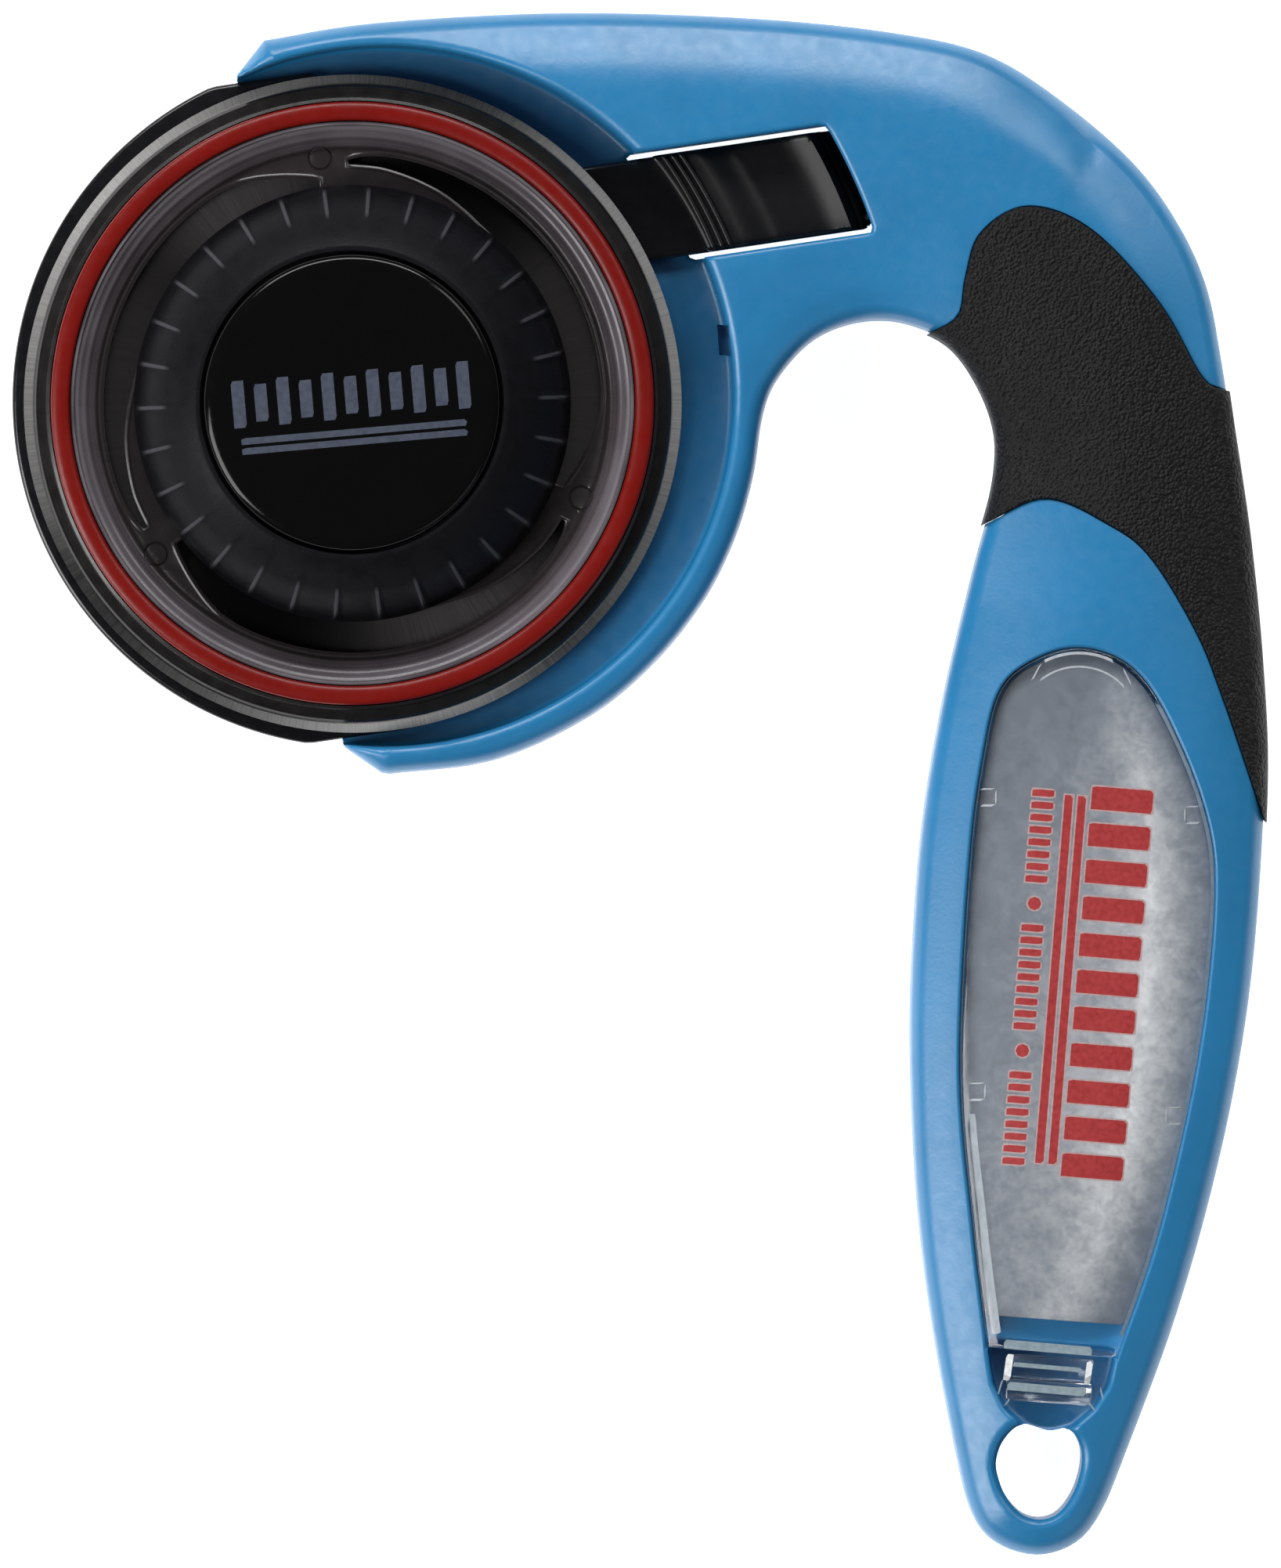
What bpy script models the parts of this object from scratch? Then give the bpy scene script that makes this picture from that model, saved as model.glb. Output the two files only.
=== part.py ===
"""Hook-handled rotary cutter for cloth, lying on its back with the blade side up.

Frame: +Z is the blade's axle direction, +Y runs up the handle, the origin is the centre of the
cutter's box on the surface it lies on. All sizes below are in millimetres; MM turns them to metres.
"""
from math import cos, pi, radians, sin

import bmesh
import bpy
from mathutils import Matrix, Vector

MM = 0.001

# Body: two half shells of equal depth that meet at the mid plane.
BODY_DEPTH = 22.0
MID = BODY_DEPTH / 2
PART_GAP = 0.15
EDGE_ROUND = 3.6
WALL = 2.0

# Blade axis, and the direction in which the guard slides.
AXIS_X = -26.25
AXIS_Y = 34.68
SLIDE_ANGLE = radians(8.4)
GUARD_TRAVEL = 6.0

# Head: the floor plate that carries the blade bolt, at the bottom of a round recess on each face.
FLOOR_HALF = 2.0
RECESS_X = -23.4
RECESS_Y = 35.3
RECESS_RADIUS = 31.9

# Stack on the bolt, from the floor plate up.
GUARD_LOW = 13.3
GUARD_HIGH = 14.6
BLADE_LOW = 15.0
BLADE_HIGH = 15.3
BLADE_RADIUS = 30.0
BLADE_BORE = 4.0
DISC_LOW = 15.6
DISC_FLOOR = 17.0
DISC_TOP = 19.2
DISC_RADIUS = 29.07
BOLT_RADIUS = 3.9
THREAD_RADIUS = 2.9
BOLT_HEAD_RADIUS = 7.0
BOLT_TOP = 25.0
KNOB_RADIUS = 19.5
KNOB_FLUTES = 30
FLUTE_DEPTH = 0.45
FLUTED_POINTS = (4, 5)
CAP_RADIUS = 13.6
KNOB_TOP = 28.0

# Slot of the thumb slides, in the slide's own frame: u along the slide, v across it, from the blade axis.
SLOT_LOW_V = 8.45
SLOT_HIGH_V = 18.75
SLOT_MOUTH_RADIUS = 33.5
SLOT_END_RADIUS = 50.0
RUN_START_U = 40.0
RUN_END_U = 58.6
SLIDE_LOW_V = 8.9
SLIDE_HIGH_V = 18.3
SLIDE_START_RADIUS = 35.2
SLIDE_END_RADIUS = 48.7

# Storage compartment in the handle, closed by a clear lid.
LID_TOP = 21.7
LID_PLATE = 1.3
LID_SKIRT_LOW = 18.6
LID_GAP = 0.35
LEDGE_Z = 18.3
LEDGE_WIDTH = 3.0
POCKET_FLOOR = 12.65
LATCH_FLOOR = 13.4
LID_PIVOT_X = 39.9
LID_PIVOT_Y = 11.6
LATCH_X = 37.4
LATCH_Y = -52.15
LATCH_LEAN = radians(-4.0)
CARD_LOW = 19.3
CARD_HIGH = 20.0
CARD_INSET = 1.9
CARD_END_Y = -48.8

# Soft grip: a skin that lies in a step of both shells and stands a little proud.
GRIP_PROUD = 0.35
GRIP_DEPTH = 1.8
GRIP_GAP = 0.3

# Case screws, put in from the back.
NECK_SCREWS = ((8.0, 64.2), (39.0, 56.5), (41.5, 19.0))
SCREW_PLACES = NECK_SCREWS + ((27.9, -12.0),)
SCREW_RADIUS = 1.25
SCREW_HEAD_RADIUS = 2.2
BOSS_RADIUS = 3.1

BODY_OUTLINE = (
    (-34.4, 67.9), (-24.1, 69.5), (-7.0, 70.4), (10.2, 69.9), (23.0, 68.6), (31.6, 66.6), (38.7, 62.2),
    (45.2, 56.5), (49.3, 50.8), (51.8, 45.1), (53.1, 38.5), (54.0, 32.5), (55.5, 22.2), (56.6, 10.8),
    (57.0, 0.0), (56.1, -14.9), (54.5, -26.4), (52.0, -37.8), (48.7, -49.2), (44.5, -60.6), (42.1, -66.4),
    (39.7, -69.3), (36.1, -70.4), (32.3, -69.2), (30.1, -66.4), (28.6, -60.6), (26.5, -49.2),
    (25.1, -37.8), (24.5, -24.9), (24.7, -14.9), (25.6, -3.5), (27.5, 7.9), (30.2, 19.4), (32.4, 27.9),
    (32.1, 33.6), (28.9, 39.4), (24.6, 41.8), (20.2, 42.1), (15.9, 40.5), (12.6, 37.0), (11.2, 33.6),
    (10.3, 27.9), (8.6, 22.2), (5.7, 16.5), (1.1, 10.8), (-4.8, 6.0), (-13.4, 2.1), (-23.4, 0.8),
)
HEAD_CUT = ((-27.2, 3.4), (-37.0, 64.6))
GRIP_UPPER = (
    (25.8, 40.8), (28.9, 42.6), (29.6, 46.1), (31.0, 50.2), (35.3, 52.6), (41.1, 50.4), (47.3, 43.7),
    (51.1, 37.1), (53.0, 35.9),
)
GRIP_LOWER = (
    (56.9, -3.4), (53.0, 8.0), (50.5, 14.1), (46.4, 20.7), (42.7, 23.6), (37.0, 26.0), (31.5, 23.8),
)
LID_RIGHT = (
    (35.7, 11.3), (39.9, 12.5), (44.4, 11.0), (47.8, 6.6), (51.4, -2.1), (52.4, -10.0), (51.0, -24.2),
    (47.4, -40.5), (43.4, -52.4),
)
LID_LEFT = (
    (31.5, -51.4), (30.2, -40.5), (29.0, -26.0), (29.9, -7.1), (31.2, 2.9), (32.7, 8.6),
)
LATCH_BAY = (
    (31.6, -50.6), (43.3, -51.4), (42.4, -54.8), (40.5, -57.6), (33.6, -57.0), (32.2, -54.2),
)
HANG_HOLE = (
    (34.6, -58.6), (37.0, -59.0), (39.2, -59.6), (39.9, -61.5), (39.3, -64.0), (37.9, -66.1),
    (36.0, -66.7), (34.4, -66.1), (33.2, -64.0), (32.7, -61.6), (33.2, -59.7),
)
NECK_CAVITY = (
    (21.0, 61.0), (31.0, 60.0), (39.5, 54.0), (45.5, 46.0), (48.6, 36.0), (50.6, 25.0), (50.8, 17.0),
    (43.0, 15.8), (35.0, 16.6), (35.4, 24.0), (36.4, 30.0), (35.0, 37.0), (30.5, 42.6), (25.0, 46.0),
    (21.6, 52.0),
)

BLUE = (0.055, 0.245, 0.475)
BLACK = (0.012, 0.012, 0.014)
GRIP_BLACK = (0.017, 0.016, 0.021)
SMOKE = (0.05, 0.042, 0.042)
RED = (0.33, 0.02, 0.013)
CLEAR = (0.75, 0.8, 0.84)
PAPER = (0.55, 0.56, 0.57)
STEEL = (0.42, 0.41, 0.39)
ZINC = (0.5, 0.5, 0.5)
BRASS = (0.6, 0.42, 0.16)


def clear_scene():
    """Remove every object, so that the part starts from nothing."""
    for obj in list(bpy.data.objects):
        bpy.data.objects.remove(obj, do_unlink=True)


def collection(name):
    """Make a collection in the scene."""
    group = bpy.data.collections.new(name)
    bpy.context.scene.collection.children.link(group)
    return group


def material(name, colour, roughness, metallic=0.0, alpha=1.0):
    """Make a Principled material."""
    made = bpy.data.materials.new(name)
    made.use_nodes = True
    shader = made.node_tree.nodes["Principled BSDF"]
    shader.inputs["Base Color"].default_value = (*colour, 1.0)
    shader.inputs["Roughness"].default_value = roughness
    shader.inputs["Metallic"].default_value = metallic
    shader.inputs["Alpha"].default_value = alpha
    return made


clear_scene()
PARTS = collection("rotary_cutter")
CUTTERS = collection("cutters")


# ---------------------------------------------------------------------------------------------
# Flat geometry, in millimetres
# ---------------------------------------------------------------------------------------------

def smooth(points, closed=True, steps=3):
    """Points of a Catmull-Rom curve through the given points."""
    count = len(points)
    spans = count if closed else count - 1
    out = []
    for i in range(spans):
        p1 = Vector(points[i])
        p2 = Vector(points[(i + 1) % count])
        p0 = Vector(points[i - 1]) if closed or i else 2 * p1 - p2
        p3 = Vector(points[(i + 2) % count]) if closed or i < spans - 1 else 2 * p2 - p1
        for k in range(steps):
            t = k / steps
            out.append(0.5 * (2 * p1 + (p2 - p0) * t + (2 * p0 - 5 * p1 + 4 * p2 - p3) * t * t
                              + (3 * p1 - p0 - 3 * p2 + p3) * t ** 3))
    if not closed:
        out.append(Vector(points[-1]))
    return out


def inset(outline, distance):
    """Move an outline inwards by a distance; a negative distance moves it outwards."""
    count = len(outline)
    area = sum(outline[i - 1].cross(outline[i]) for i in range(count))
    side = 1 if area > 0 else -1
    out = []
    for i in range(count):
        before = (outline[i] - outline[i - 1]).normalized()
        after = (outline[(i + 1) % count] - outline[i]).normalized()
        normal_before = Vector((-before.y, before.x)) * side
        normal_after = Vector((-after.y, after.x)) * side
        mitre = normal_before + normal_after
        out.append(outline[i] + mitre * (2 * distance / max(mitre.length_squared, 1.0)))
    return out


def arc(centre, radius, start, end, steps):
    """Points along an arc; angles in radians."""
    return [Vector((centre[0] + radius * cos(start + (end - start) * k / steps),
                    centre[1] + radius * sin(start + (end - start) * k / steps)))
            for k in range(steps + 1)]


def slide_frame(u, v):
    """A point given along and across the guard's slide, from the blade axis."""
    return Vector((AXIS_X + u * cos(SLIDE_ANGLE) - v * sin(SLIDE_ANGLE),
                   AXIS_Y + u * sin(SLIDE_ANGLE) + v * cos(SLIDE_ANGLE)))


def body_outline():
    """Outer edge of the shells: a smooth curve, closed by the straight cut at the head's left."""
    return smooth(BODY_OUTLINE, closed=False) + [Vector(p) for p in HEAD_CUT]


def lid_outline():
    """Edge of the storage opening: two smooth sides that meet at a straight lower end."""
    right = smooth(LID_LEFT[-1:] + LID_RIGHT, closed=False)
    left = smooth(LID_LEFT, closed=False)
    return right + left[:-1]


def grip_region():
    """Area covered by the soft grip, running past the body's edge on both sides."""
    upper = smooth(GRIP_UPPER, closed=False)
    lower = smooth(GRIP_LOWER, closed=False)
    beyond_right = [Vector((61.0, 34.5)), Vector((61.0, -6.0))]
    beyond_left = [Vector((27.0, 21.0)), Vector((21.0, 30.0)), Vector((24.2, 39.2))]
    return upper + beyond_right + lower + beyond_left


def radial_band(low_radius, high_radius, low_v, high_v, steps=6):
    """Piece of the slide's track between two circles about the blade axis."""
    def edge(radius, v_from, v_to):
        out = []
        for k in range(steps + 1):
            v = v_from + (v_to - v_from) * k / steps
            out.append(slide_frame((radius * radius - v * v) ** 0.5, v))
        return out
    return edge(low_radius, low_v, high_v) + edge(high_radius, high_v, low_v)


# ---------------------------------------------------------------------------------------------
# Solids
# ---------------------------------------------------------------------------------------------

def place(mesh, name, group, look):
    """Make an object of a mesh, as a part or as a cutter."""
    obj = bpy.data.objects.new(name, mesh)
    group.objects.link(obj)
    if look:
        mesh.materials.clear()
        mesh.materials.append(look)
    if group is CUTTERS:
        obj.hide_render = True
        obj.display_type = "WIRE"
    return obj


def prism(name, outlines, low, high, look=None):
    """Upright solid of one outline, or of an outline and the outlines of its holes."""
    curve = bpy.data.curves.new(name, "CURVE")
    curve.dimensions = "2D"
    curve.fill_mode = "BOTH"
    curve.extrude = (high - low) / 2 * MM
    for outline in outlines:
        spline = curve.splines.new("POLY")
        spline.points.add(len(outline) - 1)
        spline.use_cyclic_u = True
        for point, place_mm in zip(spline.points, outline):
            point.co = (place_mm[0] * MM, place_mm[1] * MM, 0, 1)
    drawn = bpy.data.objects.new(name + "_outline", curve)
    bpy.context.scene.collection.objects.link(drawn)
    bpy.context.view_layer.update()
    mesh = bpy.data.meshes.new_from_object(drawn.evaluated_get(bpy.context.evaluated_depsgraph_get()))
    bpy.data.objects.remove(drawn)
    weld(mesh)
    mesh.transform(Matrix.Translation((0, 0, (low + high) / 2 * MM)))
    mesh.name = name
    return place(mesh, name, PARTS if look else CUTTERS, look)


def weld(mesh):
    """Join the loose caps of a mesh and turn its faces outwards."""
    edit = bmesh.new()
    edit.from_mesh(mesh)
    bmesh.ops.remove_doubles(edit, verts=edit.verts, dist=1e-7)
    bmesh.ops.recalc_face_normals(edit, faces=edit.faces)
    edit.to_mesh(mesh)
    edit.free()


def round_rim(obj, heights, width, segments=3):
    """Round the edges that run round a solid at the given heights."""
    edit = bmesh.new()
    edit.from_mesh(obj.data)
    bmesh.ops.dissolve_limit(edit, angle_limit=radians(1), verts=edit.verts, edges=edit.edges)
    for height in heights:
        level = height * MM
        rim = [e for e in edit.edges
               if all(abs(v.co.z - level) < 1e-6 for v in e.verts) and len(e.link_faces) == 2
               and any(abs(f.normal.z) < 0.5 for f in e.link_faces)]
        bmesh.ops.bevel(edit, geom=rim, offset=width * MM, segments=segments, profile=0.5,
                        affect="EDGES", offset_type="OFFSET", clamp_overlap=True)
    bmesh.ops.triangulate(edit, faces=edit.faces)
    edit.to_mesh(obj.data)
    edit.free()


def cylinder(name, centre, radius, low, high, sides=24, look=None):
    """Upright cylinder."""
    edit = bmesh.new()
    bmesh.ops.create_cone(edit, cap_ends=True, segments=sides, radius1=radius * MM, radius2=radius * MM,
                          depth=(high - low) * MM)
    bmesh.ops.translate(edit, verts=edit.verts, vec=(centre[0] * MM, centre[1] * MM, (low + high) / 2 * MM))
    mesh = bpy.data.meshes.new(name)
    edit.to_mesh(mesh)
    edit.free()
    return place(mesh, name, PARTS if look else CUTTERS, look)


def turned(name, profile, look, steps=60, closed=False):
    """Solid turned about the blade axis; the profile is (radius, height), top to bottom outside."""
    mesh = bpy.data.meshes.new(name)
    edges = [(i, i + 1) for i in range(len(profile) - 1)]
    if closed:
        edges.append((len(profile) - 1, 0))
    mesh.from_pydata([(r * MM, 0, z * MM) for r, z in profile], edges, [])
    obj = place(mesh, name, PARTS, look)
    obj.location = (AXIS_X * MM, AXIS_Y * MM, 0)
    screw = obj.modifiers.new("turn", "SCREW")
    screw.steps = steps
    screw.render_steps = steps
    screw.use_merge_vertices = True
    screw.merge_threshold = 1e-6
    screw.use_smooth_shade = True
    return obj


def combine(obj, other, operation):
    """Cut a solid with another, join them, or keep what they share."""
    change = obj.modifiers.new(other.name, "BOOLEAN")
    change.operation = operation
    change.solver = "EXACT"
    change.object = other


def cut(obj, *others):
    """Take solids away from an object."""
    for other in others:
        combine(obj, other, "DIFFERENCE")


def joint_origin(obj, x, y, z):
    """Put an object's origin on its joint's axis, leaving its shape where it is."""
    point = Vector((x, y, z)) * MM
    obj.data.transform(Matrix.Translation(-point))
    obj.location = obj.location + point


# ---------------------------------------------------------------------------------------------
# Body
# ---------------------------------------------------------------------------------------------

def body_blank(name, low, high, proud=0.0):
    """The rounded block that a shell or a grip is cut from."""
    outline = inset(body_outline(), -proud)
    blank = prism(name, [outline], 0.0, BODY_DEPTH + proud)
    round_rim(blank, (0.0, BODY_DEPTH + proud), EDGE_ROUND + proud)
    keep = prism(name + "_half", [[Vector(c) for c in ((-90, -90), (90, -90), (90, 90), (-90, 90))]],
                 low, high)
    combine(blank, keep, "INTERSECT")
    return blank


def grip_core(name, gap):
    """What is left of the body under the grip, grown by a gap."""
    outline = inset(body_outline(), GRIP_DEPTH - gap)
    core = prism(name, [outline], GRIP_DEPTH - gap, BODY_DEPTH - GRIP_DEPTH + gap)
    round_rim(core, (GRIP_DEPTH - gap, BODY_DEPTH - GRIP_DEPTH + gap), EDGE_ROUND - 1.0, segments=2)
    return core


def grip_step():
    """The step in the shells that the grip lies in."""
    step = prism("grip_step", [inset(grip_region(), -GRIP_GAP)], -2.0, BODY_DEPTH + 2.0)
    cut(step, grip_core("grip_step_core", 0.0))
    return step


def track_cutters():
    """The slot of the thumb slides, the run inside the neck, and the hollow neck."""
    slot = prism("slot", [radial_band(SLOT_MOUTH_RADIUS, SLOT_END_RADIUS, SLOT_LOW_V, SLOT_HIGH_V)],
                 -2.0, BODY_DEPTH + 2.0)
    run_corners = ((RUN_START_U, SLOT_LOW_V), (RUN_END_U, SLOT_LOW_V), (RUN_END_U, SLOT_HIGH_V),
                   (RUN_START_U, SLOT_HIGH_V))
    run = prism("slide_run", [[slide_frame(u, v) for u, v in run_corners]], WALL, BODY_DEPTH - WALL)
    neck = prism("neck_cavity", [smooth(NECK_CAVITY, steps=2)], WALL, BODY_DEPTH - WALL)
    return slot, run, neck


def shell_bosses(shell, low, high):
    """Bosses for the screws in the hollow neck; the last screw goes into the handle's thick wall."""
    for number, centre in enumerate(NECK_SCREWS, 1):
        boss = cylinder(f"{shell.name}_boss_{number}", centre, BOSS_RADIUS, low, high, sides=16)
        combine(shell, boss, "UNION")


def make_shells(look):
    """Front and back shells with recess, slot, cavities, hang hole and screw bosses."""
    front = body_blank("front_blank", MID + PART_GAP, BODY_DEPTH + 2)
    back = body_blank("back_blank", -2, MID - PART_GAP)
    recess_front = cylinder("recess_front", (RECESS_X, RECESS_Y), RECESS_RADIUS, MID + FLOOR_HALF,
                            BODY_DEPTH + 2, sides=72)
    recess_back = cylinder("recess_back", (RECESS_X, RECESS_Y), RECESS_RADIUS, -2.0,
                           MID - FLOOR_HALF, sides=72)
    step = grip_step()
    hang_hole = prism("hang_hole", [smooth(HANG_HOLE, steps=2)], -2.0, BODY_DEPTH + 2.0)
    bolt_hole = cylinder("bolt_hole", (AXIS_X, AXIS_Y), BOLT_RADIUS + 0.3, 0, BODY_DEPTH, sides=32)
    track = track_cutters()
    lid_edge = lid_outline()
    pocket_top = prism("pocket_top", [lid_edge], LEDGE_Z, BODY_DEPTH + 2)
    pocket = prism("pocket", [inset(lid_edge, LEDGE_WIDTH)], POCKET_FLOOR, LEDGE_Z + 1)
    latch_bay = prism("latch_bay", [[Vector(p) for p in LATCH_BAY]], LATCH_FLOOR, BODY_DEPTH + 2)
    handle_cavity = prism("handle_cavity", [inset(lid_edge, 1.0)], WALL, MID)
    for blank, name, recess, cavities, span in (
            (front, "front_shell", recess_front, (pocket_top, pocket, latch_bay), (MID + PART_GAP, 20.5)),
            (back, "back_shell", recess_back, (handle_cavity,), (1.0, MID - PART_GAP))):
        CUTTERS.objects.unlink(blank)
        PARTS.objects.link(blank)
        blank.name = name
        blank.hide_render = False
        blank.display_type = "TEXTURED"
        blank.data.materials.append(look)
        cut(blank, step, recess, *track, *cavities)
        shell_bosses(blank, *span)
        cut(blank, hang_hole, bolt_hole)
    for number, centre in enumerate(SCREW_PLACES, 1):
        bore = cylinder(f"screw_bore_{number}", centre, SCREW_RADIUS + 0.3, -1, 17.5, sides=12)
        seat = cylinder(f"screw_seat_{number}", centre, SCREW_HEAD_RADIUS + 0.3, -1, 2.9, sides=16)
        cut(front, bore)
        cut(back, bore, seat)


def make_grips(look):
    """Soft grip skins, one on each shell."""
    region = prism("grip_region", [grip_region()], -2.0, BODY_DEPTH + 2.0)
    core = grip_core("grip_core", GRIP_GAP)
    track = [bpy.data.objects["slot"], bpy.data.objects["slide_run"]]
    for name, low, high in (("front_grip", MID + PART_GAP, BODY_DEPTH + 2), ("back_grip", -2, MID - PART_GAP)):
        blank = body_blank(name + "_blank", low, high, proud=GRIP_PROUD)
        CUTTERS.objects.unlink(blank)
        PARTS.objects.link(blank)
        blank.name = name
        blank.hide_render = False
        blank.display_type = "TEXTURED"
        blank.data.materials.append(look)
        combine(blank, region, "INTERSECT")
        cut(blank, core, *track)


def make_screws(look):
    """Case screws: a flat head and a plain shank, one node each."""
    for number, (x, y) in enumerate(SCREW_PLACES, 1):
        profile = ((0, 17.0), (SCREW_RADIUS, 17.0), (SCREW_RADIUS, 2.6), (SCREW_HEAD_RADIUS, 2.6),
                   (SCREW_HEAD_RADIUS, 0.9), (0, 0.9))
        screw = turned(f"case_screw_{number}", profile, look, steps=12)
        screw.location = (x * MM, y * MM, 0)


# ---------------------------------------------------------------------------------------------
# Guard and its thumb slides
# ---------------------------------------------------------------------------------------------

def guard_outline():
    """Left half disc with two flats, a middle plate, and the arm that carries the thumb slides."""
    radius = 31.65
    centre = Vector((0.6, 0.2))
    flat = 30.3
    lean = pi / 2 + 0.293
    rim = arc(centre, radius, lean, 2 * pi - lean, 30)
    shape = [Vector((1.6, centre.y + flat))] + rim + [Vector((1.6, centre.y - flat))]
    shape += [Vector(p) for p in ((1.6, -20.0), (8.0, -18.0), (16.0, -8.0), (20.0, 4.0))]
    shape += [Vector(p) for p in ((24.0, SLIDE_LOW_V), (40.8, SLIDE_LOW_V), (40.8, 11.6))]
    shape += [Vector(p) for p in ((52.0, 11.6), (52.0, SLIDE_HIGH_V), (14.0, SLIDE_HIGH_V), (1.6, 20.0))]
    return [slide_frame(p.x, p.y) for p in shape]


def make_guard(look):
    """Blade guard, which slides back past the bolt to bare the blade's left edge."""
    guard = prism("guard_plate", [guard_outline()], GUARD_LOW, GUARD_HIGH, look)
    clear = BOLT_RADIUS + 0.4
    slot = ([Vector(p) for p in arc((0, 0), clear, -pi / 2, pi / 2, 10)]
            + [Vector(p) for p in arc((-GUARD_TRAVEL - 0.2, 0), clear, pi / 2, 3 * pi / 2, 10)])
    cut(guard, prism("guard_slot", [[slide_frame(p.x, p.y) for p in slot]], GUARD_LOW - 1, GUARD_HIGH + 1))
    joint_origin(guard, AXIS_X, AXIS_Y, GUARD_LOW)


def make_thumb_slides(look):
    """Front and rear thumb pieces on the guard's arm, each with a ribbed ridge and a thumb dish."""
    levels = (("front_thumb_slide", GUARD_HIGH + 0.3, 19.5), ("rear_thumb_slide", 2.5, GUARD_LOW - 0.3))
    for name, low, high in levels:
        outline = radial_band(SLIDE_START_RADIUS, SLIDE_END_RADIUS, SLIDE_LOW_V, SLIDE_HIGH_V)
        slide = prism(name, [outline], low, high, look)
        top = high if name.startswith("front") else low
        dish = cylinder(name + "_dish", (0, 0), 14.0, -8.0, 8.0, sides=48)
        centre = slide_frame(42.5, 13.6)
        sink = 11.9 if name.startswith("front") else -11.9
        turn = Matrix.Rotation(SLIDE_ANGLE - 0.3, 4, "Z") @ Matrix.Rotation(pi / 2, 4, "X")
        dish.data.transform(Matrix.Translation((centre.x * MM, centre.y * MM, (top + sink) * MM)) @ turn)
        cut(slide, dish)
        joint_origin(slide, AXIS_X, AXIS_Y, low)


def make_detent(look):
    """Bent leaf beside the arm's tail that holds the guard open or shut."""
    ridge = ((47.2, 9.0), (50.0, 10.2), (52.8, 9.0), (55.5, 9.0), (55.5, 9.4), (52.9, 9.4),
             (50.0, 10.7), (47.0, 9.4))
    prism("detent_spring", [[slide_frame(u, v) for u, v in ridge]], GUARD_LOW, GUARD_HIGH, look)


# ---------------------------------------------------------------------------------------------
# Blade, guide disc, clamp and knob
# ---------------------------------------------------------------------------------------------

def make_bolt(look):
    """Bolt with a broad head behind the floor plate, a plain shoulder and a flatted thread."""
    profile = ((0, BOLT_TOP), (THREAD_RADIUS, BOLT_TOP), (THREAD_RADIUS, 17.2), (BOLT_RADIUS, 17.2),
               (BOLT_RADIUS, 8.7), (BOLT_HEAD_RADIUS, 8.7), (BOLT_HEAD_RADIUS, 5.6), (0, 5.6))
    bolt = turned("blade_bolt", profile, look, steps=32)
    for side in (-1, 1):
        flat = box_cutter(f"bolt_flat_{side}", (AXIS_X + side * 4.2, AXIS_Y), 4.0, 10.0, 17.2, 26.0)
        cut(bolt, flat)


def box_cutter(name, centre, width, depth, low, high):
    """Upright box, used as a cutter."""
    corners = ((-1, -1), (1, -1), (1, 1), (-1, 1))
    outline = [Vector((centre[0] + sx * width / 2, centre[1] + sy * depth / 2)) for sx, sy in corners]
    return prism(name, [outline], low, high)


def make_blade(look):
    """Round blade, ground to an edge from both faces."""
    middle = (BLADE_LOW + BLADE_HIGH) / 2
    profile = ((BLADE_BORE, BLADE_HIGH), (BLADE_RADIUS - 1.0, BLADE_HIGH), (BLADE_RADIUS, middle),
               (BLADE_RADIUS - 1.0, BLADE_LOW), (BLADE_BORE, BLADE_LOW))
    turned("blade", profile, look, steps=72, closed=True)


def make_guide_disc(look, ring_look):
    """Smoke-clear guide disc: three curved slots leave three spring arms; the ring sits in its rim."""
    profile = ((4.3, DISC_FLOOR), (24.1, DISC_FLOOR), (25.5, DISC_TOP), (25.9, DISC_TOP), (25.9, 18.2),
               (27.5, 18.2), (27.5, DISC_TOP), (27.9, DISC_TOP - 0.2), (28.1, 16.6), (DISC_RADIUS, 16.4),
               (DISC_RADIUS, DISC_LOW), (4.3, DISC_LOW))
    disc = turned("guide_disc", profile, look, steps=72, closed=True)
    for number in range(3):
        start = radians(95 + 120 * number)
        inner = arc((AXIS_X, AXIS_Y), 20.6, start, start - radians(96), 14)
        outer = arc((AXIS_X, AXIS_Y), 21.9, start - radians(96), start, 14)
        cut(disc, prism(f"arm_slot_{number + 1}", [inner + outer], DISC_LOW - 1, DISC_TOP + 1))
    ring_profile = ((26.2, 19.9), (27.2, 19.9), (27.2, 18.5), (26.2, 18.5))
    turned("guide_ring", ring_profile, ring_look, steps=72, closed=True)


def make_clamp(washer_look, spring_look):
    """Keyed washer, which cannot turn on the bolt's flats, and the spring washer on it."""
    keyed = turned("keyed_washer", ((0, 18.3), (8.0, 18.3), (8.0, 17.3), (0, 17.3)), washer_look, steps=32)
    key_hole = cylinder("key_hole", (AXIS_X, AXIS_Y), THREAD_RADIUS + 0.3, 16.0, 20.0, sides=24)
    for side in (-1, 1):
        cut(key_hole, box_cutter(f"key_flat_{side}", (AXIS_X + side * 4.5, AXIS_Y), 4.0, 10.0, 15.0, 21.0))
    cut(keyed, key_hole)
    wave = ((3.4, 19.25), (7.4, 19.25), (7.4, 18.6), (3.4, 18.6))
    turned("spring_washer", wave, spring_look, steps=32, closed=True)


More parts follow.
